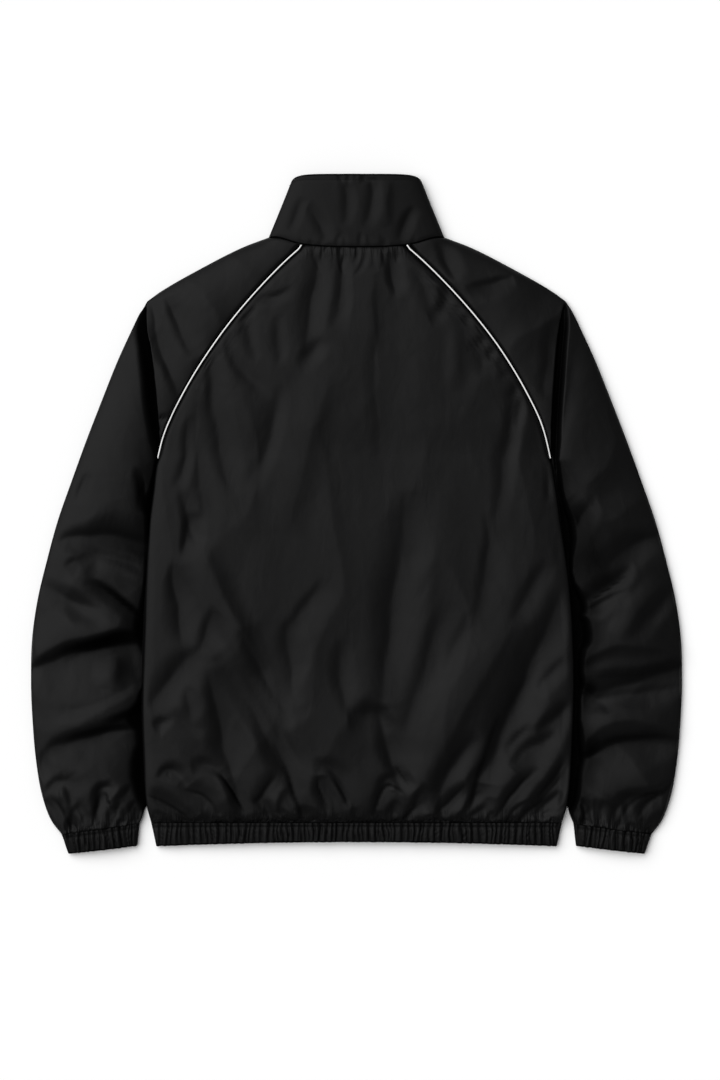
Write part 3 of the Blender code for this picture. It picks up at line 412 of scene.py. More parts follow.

# Pinches run like creases. The cloth is nipped shut along them, with painted shade over the width by the
# share
Pinch = namedtuple("Pinch", "x1 y1 x2 y2 x3 y3 width share")
BODY_PINCHES = (
    Pinch(-100, -276, -84, -310, -64, -360, 4, 0.8),
    Pinch(-166, -311, -152, -330, -135, -357, 3, 1.0),
    Pinch(-249, -335, -225, -345, -200, -360, 3, 0.6),
    Pinch(-207, -329, -185, -338, -163, -358, 3, 0.5),
    Pinch(-100, -310, -112, -328, -124, -348, 5, 0.5),
    Pinch(-45, -314, -43, -335, -37, -355, 3, 0.8),
    Pinch(-27, -315, -17, -335, -10, -352, 3, 0.7),
    Pinch(56, -334, 32, -326, 18, -362, 3.5, 0.7),
    Pinch(46, -304, 54, -314, 58, -323, 2, 0.8),
    Pinch(128, -322, 112, -338, 95, -356, 4, 0.6),
    Pinch(219, -300, 190, -326, 165, -365, 4, 0.7),
    Pinch(258, -296, 232, -330, 198, -364, 4, 0.4),
    Pinch(167, -238, 150, -292, 136, -348, 5, 0.5),
)
LEFT_SLEEVE_PINCHES = (
    Pinch(-257, 56, -257, 28, -256, 0, 13, 1.0),
    Pinch(-246, 92, -243, 50, -240, 0, 30, 0.45),
    Pinch(-322, -79, -285, -102, -235, -138, 9, 1.0),
    Pinch(-264, -117, -260, -131, -262, -145, 8, 0.8),
    Pinch(-352, -174, -298, -150, -235, -146, 17, 1.0),
    Pinch(-284, -150, -277, -178, -268, -208, 26, 0.55),
    Pinch(-306, -26, -274, -34, -215, -44, 34, 0.5),
    Pinch(-298, -250, -275, -240, -230, -218, 10, 0.9),
    Pinch(-344, -276, -302, -258, -220, -262, 9, 0.6),
    Pinch(-307, -336, -312, -350, -307, -370, 4, 0.6),
    Pinch(-366, -340, -352, -352, -342, -374, 4, 0.6),
    Pinch(-284, -348, -288, -362, -293, -374, 4, 0.5),
    Pinch(-243, 118, -233, 117, -223, 117, 1.6, 0.6),
    Pinch(-240, 114, -236, 104, -232, 96, 1.6, 0.7),
)
RIGHT_SLEEVE_PINCHES = (
    Pinch(258, 10, 270, -46, 292, -98, 54, 0.75),
    Pinch(322, -72, 295, -92, 273, -111, 3, 0.8),
    Pinch(256, -193, 269, -203, 286, -212, 14, 0.95),
    Pinch(252, -304, 270, -291, 294, -272, 14, 0.9),
    Pinch(240, -199, 320, -188, 400, -180, 14, 0.4),
    Pinch(250, -330, 300, -275, 390, -272, 12, 0.45),
    Pinch(364, -330, 330, -342, 309, -374, 4, 0.6),
    Pinch(376, -328, 346, -345, 328, -374, 4, 0.6),
    Pinch(281, -338, 277, -352, 280, -372, 4, 0.5),
)
SLEEVE_CREASES = Sides(LEFT_SLEEVE_CREASES, RIGHT_SLEEVE_CREASES)
SLEEVE_PINCHES = Sides(LEFT_SLEEVE_PINCHES, RIGHT_SLEEVE_PINCHES)


# Shapes

LATTICE = 64  # steps after which the smooth noise repeats


def smooth(keys, values, at):
    """A cubic through the values, whose slope at each key is the mean of its neighbours'."""
    keys = np.asarray(keys, float)
    values = np.asarray(values, float)
    step = np.diff(keys)
    rise = np.diff(values) / step
    slope = np.concatenate([rise[:1], (rise[:-1] + rise[1:]) / 2, rise[-1:]])
    slope[1:-1][rise[:-1] * rise[1:] <= 0] = 0
    index = np.clip(np.searchsorted(keys, at, side="right") - 1, 0, len(step) - 1)
    t = (at - keys[index]) / step[index]
    start = (2 * t**3 - 3 * t**2 + 1) * values[index] + (t**3 - 2 * t**2 + t) * step[index] * slope[index]
    end = (3 * t**2 - 2 * t**3) * values[index + 1] + (t**3 - t**2) * step[index] * slope[index + 1]
    return start + end


def ease(value, start, end):
    """0 at start, 1 at end, and smooth between."""
    t = np.clip((np.asarray(value, float) - start) / (end - start), 0, 1)
    return t * t * (3 - 2 * t)


def bell(value, width):
    return np.exp(-((np.asarray(value, float) / width) ** 2))


def body_at(y, column):
    rows = BODY[::-1]
    return smooth([row.y for row in rows], [getattr(row, column) for row in rows], y)


def table_at(rows, y, column):
    """The value of a table's column at the height y, straight between its rows."""
    rows = sorted(rows)
    return np.interp(y, [row.y for row in rows], [getattr(row, column) for row in rows])


def body_edge(y, side):
    """How far out the body's edge lies on one side."""
    spread = BODY_SPREAD * ease(-y, -66, -40) * ease(y, HEM_Y, HEM_Y + 20)
    shift = table_at(BODY_SHIFTS, y, "x") + table_at(getattr(RAGLAN_SHIFTS, side), y, "x")
    return body_at(y, "half_width") + spread + shift * SIDES[side]


def edge_shift(y, side):
    """How much further out the body's edge lies on one side than in an even outline."""
    return body_edge(y, side) - body_at(y, "half_width")


def neck_y(x):
    across = np.minimum(np.abs(x), NECK[-1].x)
    return smooth([point.x for point in NECK], [point.y for point in NECK], across)


def front_neck_y(x):
    return FRONT_NECK_Y + (NECK[-1].y - FRONT_NECK_Y) * np.minimum(np.abs(x) / NECK[-1].x, 1) ** 2


def lens(across, roundness):
    return np.clip(1 - across**2, 0, 1) ** roundness


def zip_lift(x, y):
    height = ZIP_LIFT + (SLIDER_LIFT - ZIP_LIFT) * ease(y, FRONT_NECK_Y, COLLAR_FRONT_TOP_Y - 30)
    return height * (1 - ease(np.abs(x), LIFT_FLAT, LIFT_END))


def raised_edge(distance, height, reach=LIFT_REACH):
    return height * np.clip(1 - distance / reach, 0, 1) ** 2


def folded_edge(distance):
    return FOLD_Z * (1 - np.sqrt(1 - np.clip(1 - distance / FOLD_REACH, 0, 1) ** 2))


def neck_share(y):
    """1 at the neck, 0 at the underarm and below."""
    return np.clip((y - UNDERARM_Y) / (NECK_Y - UNDERARM_Y), 0, 1)


def raglan_normal(y):
    """The way out from the body, square to the raglan seam, in plan."""
    above = np.minimum(y + 1, NECK_Y)
    spread = body_at(above - 2, "half_width") - body_at(above, "half_width")
    length = np.hypot(2.0, spread)
    return 2.0 / length, spread / length


def raglan_point(y, gap, front=False):
    """Points beside the raglan seam, gap away from it, out from the body where gap is above 0."""
    out_x, out_y = raglan_normal(y)
    half = body_at(y, "half_width")
    neck = ease(y, NECK_Y - 6, NECK_Y)
    x = half + gap * (out_x * (1 - neck) + neck / out_x)
    raised = y + gap * out_y * (1 - neck)
    at_neck = neck_y(x)
    if front:
        at_neck = front_neck_y(x)
        raised = raised - (neck_y(BODY[0].half_width) - front_neck_y(BODY[0].half_width)) * neck_share(y)
    return x, raised * (1 - neck) + at_neck * neck


def path_distance(x, y, points):
    """Each point's distance from a path, its share of the way along, its side (1 left, -1 right), and how
    far the path's left side looks along LEAN."""
    points = np.asarray(points, float)
    lengths = np.linalg.norm(np.diff(points, axis=0), axis=1)
    best = np.full(np.shape(x), np.inf)
    share = np.zeros(np.shape(x))
    side = np.ones(np.shape(x))
    lean = np.zeros(np.shape(x))
    done = 0.0
    for start, end, length in zip(points[:-1], points[1:], lengths):
        way = (end - start) / length
        along = (x - start[0]) * way[0] + (y - start[1]) * way[1]
        across = (y - start[1]) * way[0] - (x - start[0]) * way[1]
        distance = np.hypot(along - np.clip(along, 0, length), across)
        near = distance < best
        best = np.where(near, distance, best)
        share = np.where(near, (done + np.clip(along, 0, length)) / lengths.sum(), share)
        side = np.where(near, np.sign(across), side)
        lean = np.where(near, way[0] * LEAN[1] - way[1] * LEAN[0], lean)
        done += length
    return best, share, side, lean


def crease_path(crease, steps=27):
    """A curve from the crease's first point to its last that passes its middle one."""
    start, middle, end = np.reshape(crease[:6], (3, 2))
    pull = 2 * middle - (start + end) / 2
    t = np.linspace(0, 1, steps)[:, None]
    return (1 - t) ** 2 * start + 2 * t * (1 - t) * pull + t**2 * end


def lattice(x, y, size, seed):
    """Smooth noise between -1 and 1, whose hills are about size apart."""
    table = np.random.default_rng(seed).uniform(-1, 1, (LATTICE, LATTICE))
    across, up = (0.82 * x + 0.57 * y) / size, (0.82 * y - 0.57 * x) / size
    column, row = np.floor(across).astype(int), np.floor(up).astype(int)
    across, up = across - column, up - row
    across, up = across * across * (3 - 2 * across), up * up * (3 - 2 * up)
    rows = (row % LATTICE, (row + 1) % LATTICE)
    columns = (column % LATTICE, (column + 1) % LATTICE)
    low, high = (table[at, columns[0]] * (1 - across) + table[at, columns[1]] * across for at in rows)
    return low * (1 - up) + high * up


def wandered(x, y):
    """The points moved a little, so that nothing placed by them runs quite straight."""
    moved_x = x + 3.2 * lattice(x, y, 34, 31) + 0.7 * lattice(x, y, 11, 32)
    moved_y = y + 3.2 * lattice(x, y, 34, 33) + 0.7 * lattice(x, y, 11, 34)
    return moved_x, moved_y


def nearby(x, y, path, reach):
    """Which points lie within the reach of the path's box."""
    low, high = path.min(axis=0) - reach, path.max(axis=0) + reach
    return (x > low[0]) & (x < high[0]) & (y > low[1]) & (y < high[1])


def creased(x, y, creases, crisp=1.6, round_ridge=3.0):
    """How far the creases move the cloth out at each point."""
    total = np.zeros(np.shape(x))
    moved_x, moved_y = wandered(x, y)
    for crease in creases:
        path = crease_path(crease)
        reach = max(crease.left, crease.right) * SOFT_MOST * (1 + abs(crease.flare)) + 4
        near = nearby(moved_x, moved_y, path, reach)
        if not near.any():
            continue
        distance, share, side, lean = path_distance(moved_x[near], moved_y[near], path)
        steep = 0.5 + 0.5 * np.clip(2.2 * lean * side * np.sign(crease.depth), -1, 1)
        width = np.where(side > 0, crease.left, crease.right) * (0.6 + 0.4 * np.sin(np.pi * share))
        width = width * (1 + crease.flare * (2 * share - 1))
        soft_width = np.clip(SOFT_RUN * abs(crease.depth), width * SOFT_SIDE, width * SOFT_MOST)
        width = width * steep + soft_width * (1 - steep)
        blunt = round_ridge if crease.depth > 0 else crisp
        away = np.clip((np.sqrt(distance**2 + blunt**2) - blunt) / width, 0, 1)
        soft = 1 - away * away * (3 - 2 * away)
        fade = np.sin(np.pi * np.clip(share, 0.001, 0.999)) ** 0.8
        total[near] += crease.depth * fade * (soft + ((1 - away) ** 2 - soft) * steep)
    return total


def pinch_nip_and_painted_shade(x, y, pinches):
    """The pinches' painted shade at each point, from 0 to 1; the cloth is also nipped in by it."""
    total = np.zeros(np.shape(x))
    moved_x, moved_y = wandered(x, y)
    for pinch in pinches:
        path = crease_path(pinch)
        near = nearby(moved_x, moved_y, path, 2 * pinch.width)
        if near.any():
            distance, share, _, _ = path_distance(moved_x[near], moved_y[near], path)
            fade = np.sin(np.pi * np.clip(share, 0.001, 0.999)) ** 0.5
            dark = np.clip(1.35 * bell(distance, pinch.width / 2), 0, 1) * fade * pinch.share
            total[near] = np.maximum(total[near], dark)
    return total


def crumpled(x, y, seed, stretch=2.4):
    """Shallow irregular folds all over, longer along y."""
    x, y = wandered(x, y)
    big = 1.0 - 2 * np.abs(lattice(x, y / stretch, 52, seed))
    middle = 1.0 - 2 * np.abs(lattice(x + 0.3 * y, y / stretch, 27, seed + 1))
    small = 1.0 - 2 * np.abs(lattice(x - 0.4 * y, y / 1.5, 13, seed + 2))
    share = 0.5 + 0.5 * lattice(x, y, 60, seed + 3)
    return 1.1 * big + 0.3 * middle * share + 0.1 * small * (1 - share)


def seam_gathers(start, end, count, seed, length, depth, lean=0.0, spread=0.5, turn=1.0):
    """Small creases that leave the seam from start to end, to its left where turn is 1."""
    random = np.random.default_rng(seed)
    start, end = np.array(start, float), np.array(end, float)
    way = (end - start) / np.linalg.norm(end - start)
    up = np.array([-way[1], way[0]]) * turn
    creases = []
    for share in (np.arange(count) + random.uniform(0.05, 0.95, count)) / count:
        root = start + (end - start) * share
        tilt = lean * (2 * share - 1) + random.uniform(-spread, spread)
        reach = length * random.uniform(0.25, 1.3) ** 1.5
        middle = root + up * reach * 0.5 + way * tilt * reach * 0.3
        tip = root + up * reach + way * tilt * reach * random.uniform(0.9, 1.5)
        root = root - up * reach * 0.3
        narrow, wide = random.uniform(2.2, 3.6), random.uniform(3.2, 6.0)
        left, right = (narrow, wide) if random.random() < 0.5 else (wide, narrow)
        drop = depth * random.uniform(0.5, 1.2) * random.choice([-1, -1, -1, 0.7])
        creases.append(Crease(*root, *middle, *tip, left, right, drop))
    return creases


class Ribs:
    """The uneven ribs of gathered elastic, along one direction in millimetres."""

    def __init__(self, low, high, pitch, seed):
        random = np.random.default_rng(seed)
        count = int((high - low) / pitch)
        edges = np.cumsum(random.uniform(0.4, 1.8, count))
        self.edges = low + (high - low) * np.concatenate([[0], edges / edges[-1]])
        self.heights = random.uniform(0.35, 1.0, count + 1)

    def at(self, way):
        """0 in the valleys, up to 1 on the ribs."""
        index = np.clip(np.searchsorted(self.edges, way, side="right") - 1, 0, len(self.edges) - 2)
        t = (way - self.edges[index]) / (self.edges[index + 1] - self.edges[index])
        return (1 - np.abs(2 * np.clip(t, 0, 1) - 1) ** 1.8) * self.heights[index]


HEM_RIBS = Ribs(-260, 260, 6.4, seed=4)
FRONT_HEM_RIBS = Ribs(-260, 260, 6.4, seed=5)
FINE_RIBS = Ribs(-260, 260, 2.9, seed=8)
CUFF_RIBS = Ribs(-60, 60, 5.4, seed=6)
CUFF_UNDER_RIBS = Ribs(-60, 60, 5.4, seed=7)
HEM_GATHERS = seam_gathers((-246, HEM_Y), (246, HEM_Y), 34, seed=11, length=22, depth=1.8, lean=0.9)
HEM_GATHERS += seam_gathers(
    (-240, HEM_Y), (240, HEM_Y), 11, seed=41, length=44, depth=2.3, lean=1.0, spread=0.3
)
HEM_PUCKERS = seam_gathers((-246, HEM_Y), (246, HEM_Y), 96, seed=42, length=9, depth=1.3, lean=0.2)
NECK_GATHERS = seam_gathers((52, 320.5), (-56, 320.5), 15, seed=12, length=20, depth=1.1)
COLLAR_GATHERS = seam_gathers((22, 405), (-24, 405), 9, seed=21, length=16, depth=0.8)
COLLAR_GATHERS += seam_gathers((-70, 323), (70, 323), 11, seed=22, length=14, depth=0.7)
RAGLAN_PUCKERS = seam_gathers((92, 296), (206, 146), 18, seed=13, length=20, depth=1.5, turn=-1.0)
RAGLAN_PUCKERS += seam_gathers((-92, 296), (-206, 146), 14, seed=14, length=16, depth=1.2)
LEFT_CUFF_GATHERS = seam_gathers((-352, -383), (-261, -370), 15, seed=15, length=30, depth=2.2)
LEFT_CUFF_GATHERS += seam_gathers((-352, -383), (-261, -370), 20, seed=43, length=10, depth=1.3)
RIGHT_CUFF_GATHERS = seam_gathers((261, -370), (352, -383), 15, seed=16, length=30, depth=2.2)
RIGHT_CUFF_GATHERS += seam_gathers((261, -370), (352, -383), 20, seed=44, length=10, depth=1.3)
CUFF_GATHERS = Sides(LEFT_CUFF_GATHERS, RIGHT_CUFF_GATHERS)


def body_top(x, y, half):
    """The outer face of the back, with its creases."""
    rise = lens(x / half, body_at(y, "round") / 6) * body_at(y, "crown") * 0.76
    inside = np.clip(half - np.abs(x), 0, None)
    hem = ease(y, HEM_Y, HEM_Y + 12)
    z = body_at(y, "top") + rise + crumpled(x, y, 50) * ease(inside, 0, 12) * (0.2 + 0.8 * hem)
    z = z + creased(x, y, BODY_CREASES) * ease(inside, 0, 14) * (0.3 + 0.7 * hem)
    z = z + (creased(x, y, HEM_GATHERS) + creased(x, y, HEM_PUCKERS, 0.8)) * ease(inside, 0, 8)
    z = z + creased(x, y, NECK_GATHERS, 1.0) + creased(x, y, RAGLAN_PUCKERS, 1.0) * ease(inside, 0, 4)
    z = z + 1.2 * (HEM_RIBS.at(x) - 0.6) * np.exp(-(y - HEM_Y) / 6) * ease(inside, 2, 10)
    return np.maximum(z, 2.2)


def gap_width(y, side):
    return table_at(getattr(GAPS, side), np.minimum(y, UNDERARM_Y), "width")


def stood_up(z, out, gap, run):
    """z beyond the gap, and its floor within it. out is how far the point is from the gap's inner side, and
    run the share of the gap over which the cloth rises."""
    wall = np.clip((out - gap * (1 - run)) / (gap * run), 0, 1)
    floor = np.minimum(GAP_FLOOR, z)
    return floor + (z - floor) * (1 - (1 - wall) ** 1.6)


def painted_tuck_shade(out, width):
    """The painted shade where the cloth is tucked in out of the light: 1 there, 0 beyond."""
    return ease(out, -6.0, -1.0) * (1 - ease(out, width - PAINTED_SHADE_BLUR, width + PAINTED_SHADE_BLUR))


def side_gap(x, y, z, side):
    """Sinks the sleeve beside the body's edge. Returns the height and its painted shade."""
    moved_x, moved_y = wandered(x, y)
    out = np.abs(x) - body_edge(y, side)
    width = gap_width(moved_y, side) + 0.5 * (x - moved_x)
    sunk = stood_up(z, out, np.maximum(width + 3, 1), getattr(WALL_RUN, side))
    below = ease(-y, -UNDERARM_Y, -UNDERARM_Y + 8)
    # painted shade in the gap and on the arm's rim beside it
    painted_rim_shade = getattr(RIM_PAINTED_SHADE, side) * (1 - ease(out, width, width + PAINTED_RIM_REACH)) * ease(out, -6, -1)
    dark = 1 - ease(out, width - PAINTED_SHADE_BLUR, width + PAINTED_SHADE_BLUR)
    return z + (sunk - z) * below, np.maximum(dark, painted_rim_shade) * below


def shoulder_fold(x, y, z, side):
    """Where the cloth lies in the shoulder's deep fold, how far it runs in under the cap's edge, and how dark
    its painted shade is there."""
    points = getattr(SHOULDER_FOLDS, side)
    places = np.linspace(points[-1].y, points[0].y, 30)
    line_x = smooth([point.y for point in points], [point.x for point in points], places)
    line = np.column_stack([line_x, places])
    distance, share, way, _ = path_distance(np.abs(x), y, line)
    out = distance * way
    width = getattr(SHOULDER_GAP, side) * ease(share, -0.1, 0.2)
    width = width * (1 - getattr(SHOULDER_TAPER, side) * ease(share, 0.6, 1.0))
    sunk = stood_up(z, out, width + 3, getattr(WALL_RUN, side)) + 3 * ease(share, 0.9, 1.0)
    inside = ease(out, 0, 2.5) * ease(share, 0, 0.06)
    under = ease(out, 0.3, 2.5) * (1 - ease(out, 2.5, 9))
    under = under * ease(share, 0.01, 0.1) * (1 - ease(share, 0.9, 1.0))
    near = ease(out, 0, 0.2) * (1 - ease(out, 30, 50))
    tucked = painted_tuck_shade(out, width) * near * ease(share, 0.004, 0.03)
    return z + (np.minimum(sunk, z) - z) * inside * near, -4.0 * under, tucked


def sleeve_rise(across, full):
    """The crown's share, 0 at the seam and 1 in the middle of the sleeve: a tight fold, then nearly flat."""
    fold = lens(2 * across - 1, 0.2)
    swell = lens(2 * across - 1, 1.0)
    flat = 0.6 * fold + 0.4 * swell
    return flat + (lens(2 * across - 1, 0.3) - flat) * full


ArmSection = namedtuple("ArmSection", "back_x back_y front_x front_y outer_x outer_y top bottom crown full")


def cap_sections(count, gap):
    """Sections from the collar to the shoulder tip, each as one row of ArmSection."""
    y = np.linspace(NECK_Y, UNDERARM_Y, count, endpoint=False)
    shoulder = np.array(SHOULDER)
    lengths = np.concatenate([[0], np.cumsum(np.linalg.norm(np.diff(shoulder, axis=0), axis=1))])
    share = (1 - neck_share(y)) ** SHOULDER_SPREAD
    outer = [smooth(lengths, shoulder[:, axis], share * lengths[-1]) for axis in (0, 1)]
    back = raglan_point(y, gap * ease(y, UNDERARM_Y - 12, UNDERARM_Y + 2))
    front = raglan_point(y, SEAM / 2, front=True)
    heights = [body_at(y, "top"), body_at(y, "bottom"), ARM[0].crown * share]
    return np.column_stack([*back, *front, *outer, *heights, np.zeros(count)])


def arm_sections(step):
    """Sections from the shoulder tip to the cuff, about step apart along the outer fold."""
    table = np.array(ARM)
    inner_steps = np.linalg.norm(np.diff(table[:, 0:2], axis=0), axis=1)
    outer_steps = np.linalg.norm(np.diff(table[:, 3:5], axis=0), axis=1)
    places = np.concatenate([[0], np.cumsum(outer_steps * 0.6 + inner_steps * 0.4)])
    fine = np.arange(0, TIP_RUN, TIP_STEP)
    coarse = np.linspace(TIP_RUN, places[-1], int((places[-1] - TIP_RUN) / step))
    at = np.concatenate([fine, coarse])
    x, y, edge, outer_x, outer_y, crown, full = (smooth(places, column, at) for column in table.T)
    return np.column_stack([x, y, x, y, outer_x, outer_y, edge + SHELL_EDGE, edge - SHELL_EDGE, crown, full])


# Meshes


def grid_faces(rows, columns, ring=False):
    """The faces between the points of a grid, whose last column joins its first in a ring."""
    row, column = np.meshgrid(np.arange(rows - 1), np.arange(columns if ring else columns - 1), indexing="ij")
    near, far = row.ravel() * columns, (row.ravel() + 1) * columns
    column = column.ravel()
    after = (column + 1) % columns
    return np.column_stack([near + column, near + after, far + after, far + column])


def closed_wall(name, outer, inner, ring=False):
    """A closed wall between two grids of points in millimetres, as an object at the origin in metres."""
    rows, columns = np.shape(outer)[:2]
    points = np.concatenate([np.reshape(outer, (-1, 3)), np.reshape(inner, (-1, 3))]) * MM
    back = rows * columns
    corners = grid_faces(rows, columns, ring)
    faces = [corners, corners[:, ::-1] + back]
    around = np.arange(columns if ring else columns - 1)
    for edge in (0, rows - 1):
        first = edge * columns + around
        second = edge * columns + (around + 1) % columns
        quad = np.column_stack([first, first + back, second + back, second])
        faces.append(quad if edge == 0 else quad[:, ::-1])
    if not ring:
        for edge in (0, columns - 1):
            first = np.arange(rows - 1) * columns + edge
            quad = np.column_stack([first, first + columns, first + columns + back, first + back])
            faces.append(quad if edge == 0 else quad[:, ::-1])
    return finished_mesh(name, points, np.concatenate(faces).tolist())


def mark(piece, name, shares):
    """Stores each point's share under the name, the same on both faces of the wall."""
    layer = piece.data.attributes.new(name, "FLOAT", "POINT")
    layer.data.foreach_set("value", np.tile(shares.ravel(), 2).astype(np.float32))


def linked(name, data):
    """An object of the data, in the scene."""
    made = bpy.data.objects.new(name, data)
    bpy.context.scene.collection.objects.link(made)
    return made


def finished_mesh(name, points, faces):
    """An object whose faces are turned outwards."""
    mesh = bpy.data.meshes.new(name)
    mesh.from_pydata(points.tolist(), [], faces)
    shape = bmesh.new()
    shape.from_mesh(mesh)
    if shape.calc_volume(signed=True) < 0:
        bmesh.ops.reverse_faces(shape, faces=shape.faces)
    shape.to_mesh(mesh)
    shape.free()
    mesh.shade_smooth()
    return linked(name, mesh)


def thickened(grid, thickness):
    """The grid moved in by the cloth's thickness, for sections that run outwards."""
    normal = np.cross(np.gradient(grid, axis=1), np.gradient(grid, axis=0))
    normal /= np.maximum(np.linalg.norm(normal, axis=2, keepdims=True), 1e-9)
    return grid + thickness * normal


def sewn(name, line, up, pitch=3.2, length=2.3, radius=0.24):
    """A row of machine stitches along the line, which stand out along up."""
    places = np.concatenate([[0], np.cumsum(np.linalg.norm(np.diff(line, axis=0), axis=1))])
    starts = np.arange(pitch / 2, places[-1] - pitch, pitch)
    points, faces = [], []
    ring = np.arange(4)
    for start in starts:
        at = start + length * np.linspace(0, 1, 4)
        centres = np.stack([np.interp(at, places, line[:, axis]) for axis in range(3)], axis=1)
        out = np.stack([np.interp(at, places, up[:, axis]) for axis in range(3)], axis=1)
        out /= np.linalg.norm(out, axis=1, keepdims=True)
        side = np.cross(out, centres[-1] - centres[0])
        side /= np.linalg.norm(side, axis=1, keepdims=True)
        rise = np.array([-0.5, 1.2, 1.2, -0.5])[:, None] * radius
        first = len(points) * 16
        corners = [centres + out * rise + way * radius for way in (out, side, -out, -side)]
        points.append(np.stack(corners, axis=1).reshape(16, 3))
        for step in range(3):
            near, far = first + step * 4 + ring, first + step * 4 + 4 + ring
            faces.append(np.column_stack([near, np.roll(near, -1), np.roll(far, -1), far]))
        faces.append([first + ring[::-1], first + 12 + ring])
    return finished_mesh(name, np.concatenate(points) * MM, np.concatenate(faces).tolist())


# Finishes


class Value:
    """A shader socket. Arithmetic on it adds Math nodes."""

    def __init__(self, finish, socket):
        self.finish = finish
        self.socket = socket

    def math(self, operation, *values):
        node = self.finish.node("ShaderNodeMath", {"operation": operation}, dict(enumerate(values)))
        return Value(self.finish, node.outputs[0])

    def __add__(self, other):
        return self.math("ADD", self, other)

    def __sub__(self, other):
        return self.math("SUBTRACT", self, other)

    def __rsub__(self, other):
        return self.math("SUBTRACT", other, self)

    def __mul__(self, other):
        return self.math("MULTIPLY", self, other)

    __radd__ = __add__
    __rmul__ = __mul__


class Finish:
    """A material on a Principled shader, and the nodes that feed it."""

    def __init__(self, name, colour, roughness, **constants):
        self.material = bpy.data.materials.new(name)
        self.material.use_nodes = True
        self.tree = self.material.node_tree
        self.shader = self.tree.nodes["Principled BSDF"]
        self.set("Base Color", (*colour, 1.0))
        self.set("Roughness", roughness)
        for socket, value in constants.items():
            self.set(socket.replace("_", " "), value)

    def set(self, socket, value):
        self.join(value, self.shader.inputs[socket])

    def join(self, value, socket):
        if isinstance(value, Value):
            self.tree.links.new(value.socket, socket)
        else:
            socket.default_value = value

    def node(self, kind, settings, inputs):
        """A new node of the kind, its settings made first, then its sockets filled or joined."""
        node = self.tree.nodes.new(kind)
        for key, value in settings.items():
            setattr(node, key, value)
        for key, value in inputs.items():
            self.join(value, node.inputs[key])
        return node

    def place(self):
        node = self.node("ShaderNodeTexCoord", {}, {})
        return Value(self, node.outputs["Object"])

    def stretched(self, place, scale, turn=(0.0, 0.0, 0.0)):
        node = self.node("ShaderNodeMapping", {}, {"Vector": place, "Scale": scale, "Rotation": turn})
        return Value(self, node.outputs["Vector"])

    def noise(self, place, scale, detail=3.0, kind="FBM", distortion=0.0):
        inputs = {"Vector": place, "Scale": scale, "Detail": detail, "Distortion": distortion}
        node = self.node("ShaderNodeTexNoise", {"noise_type": kind}, inputs)
        return Value(self, node.outputs["Fac"])

    def wave(self, place, scale, direction):
        inputs = {"Vector": place, "Scale": scale}
        node = self.node("ShaderNodeTexWave", {"bands_direction": direction}, inputs)
        return Value(self, node.outputs["Fac"])

    def blend(self, share, first, second):
        node = self.node("ShaderNodeMix", {"data_type": "RGBA"}, {"Factor": share})
        node.inputs[6].default_value = (*first, 1.0)
        node.inputs[7].default_value = (*second, 1.0)
        return Value(self, node.outputs[2])

    def attribute(self, name):
        node = self.node("ShaderNodeAttribute", {"attribute_name": name}, {})
        return Value(self, node.outputs["Fac"])

    def mix_painted_shade(self, share, colour):
        """Mixes in painted shade: a dull finish of the colour, by share."""
        painted_dark_finish = self.node("ShaderNodeBsdfDiffuse", {}, {"Color": (*colour, 1.0)})
        mix = self.node("ShaderNodeMixShader", {}, {0: share})
        self.tree.links.new(self.shader.outputs[0], mix.inputs[1])
        self.tree.links.new(painted_dark_finish.outputs[0], mix.inputs[2])
        self.tree.links.new(mix.outputs[0], self.tree.nodes["Material Output"].inputs["Surface"])

    def bump(self, height, distance, below=None):
        inputs = {"Height": height, "Distance": distance}
        if below is not None:
            inputs["Normal"] = below
        node = self.node("ShaderNodeBump", {}, inputs)
        return Value(self, node.outputs["Normal"])


def toned(colour, share):
    return tuple(channel * share for channel in colour)


def nylon(name, colour, roughness, crinkle):
    """Plain-weave nylon: fine crinkles, a weave and a slightly uneven sheen."""
    finish = Finish(name, colour, roughness, Specular_IOR_Level=0.116)
    place = finish.place()
    patches = finish.noise(place, 9.0, detail=2.0)
    finish.set("Base Color", finish.blend(patches, toned(colour, 0.8), toned(colour, 1.2)))
    finish.set("Roughness", patches * 0.1 + (roughness - 0.05))
    soft = finish.noise(finish.stretched(place, (1.0, 0.55, 1.0)), 42.0, detail=3.0, distortion=0.6)
    turned = finish.stretched(place, (1.0, 0.7, 1.0), (0, 0, 0.5))
    ridged = finish.noise(turned, 70.0, 3.0, "RIDGED_MULTIFRACTAL")
    weave = finish.wave(place, 900.0, "X") + finish.wave(place, 900.0, "Y")
    pleats = finish.noise(finish.stretched(place, (1.0, 0.16, 1.0)), 260.0, detail=1.0, distortion=0.3)
    normal = finish.bump(soft, 0.0006 * crinkle)
    normal = finish.bump(pleats * finish.attribute("pleats"), 0.0042, normal)
    normal = finish.bump(ridged, 0.00007 * crinkle, normal)
    normal = finish.bump(weave, 0.00001, normal)
    finish.set("Normal", normal)
    # painted shade: a near-black dull finish mixed in by each piece's attribute over tucks, gaps, rims,
    # pinches, seams and rib valleys
    finish.mix_painted_shade(finish.attribute("tucked") * 0.94, (0.0006, 0.0006, 0.0006))
    return finish.material


def satin_cord(name, colour):
    finish = Finish(name, colour, 0.5, Sheen_Weight=0.2)
    place = finish.place()
    ribs = finish.wave(finish.stretched(place, (1, 1, 1), (0, 0, 0.7)), 500.0, "X")
    finish.set("Base Color", finish.blend(ribs, toned(colour, 0.94), colour))
    finish.set("Normal", finish.bump(ribs, 0.00006))
    return finish.material


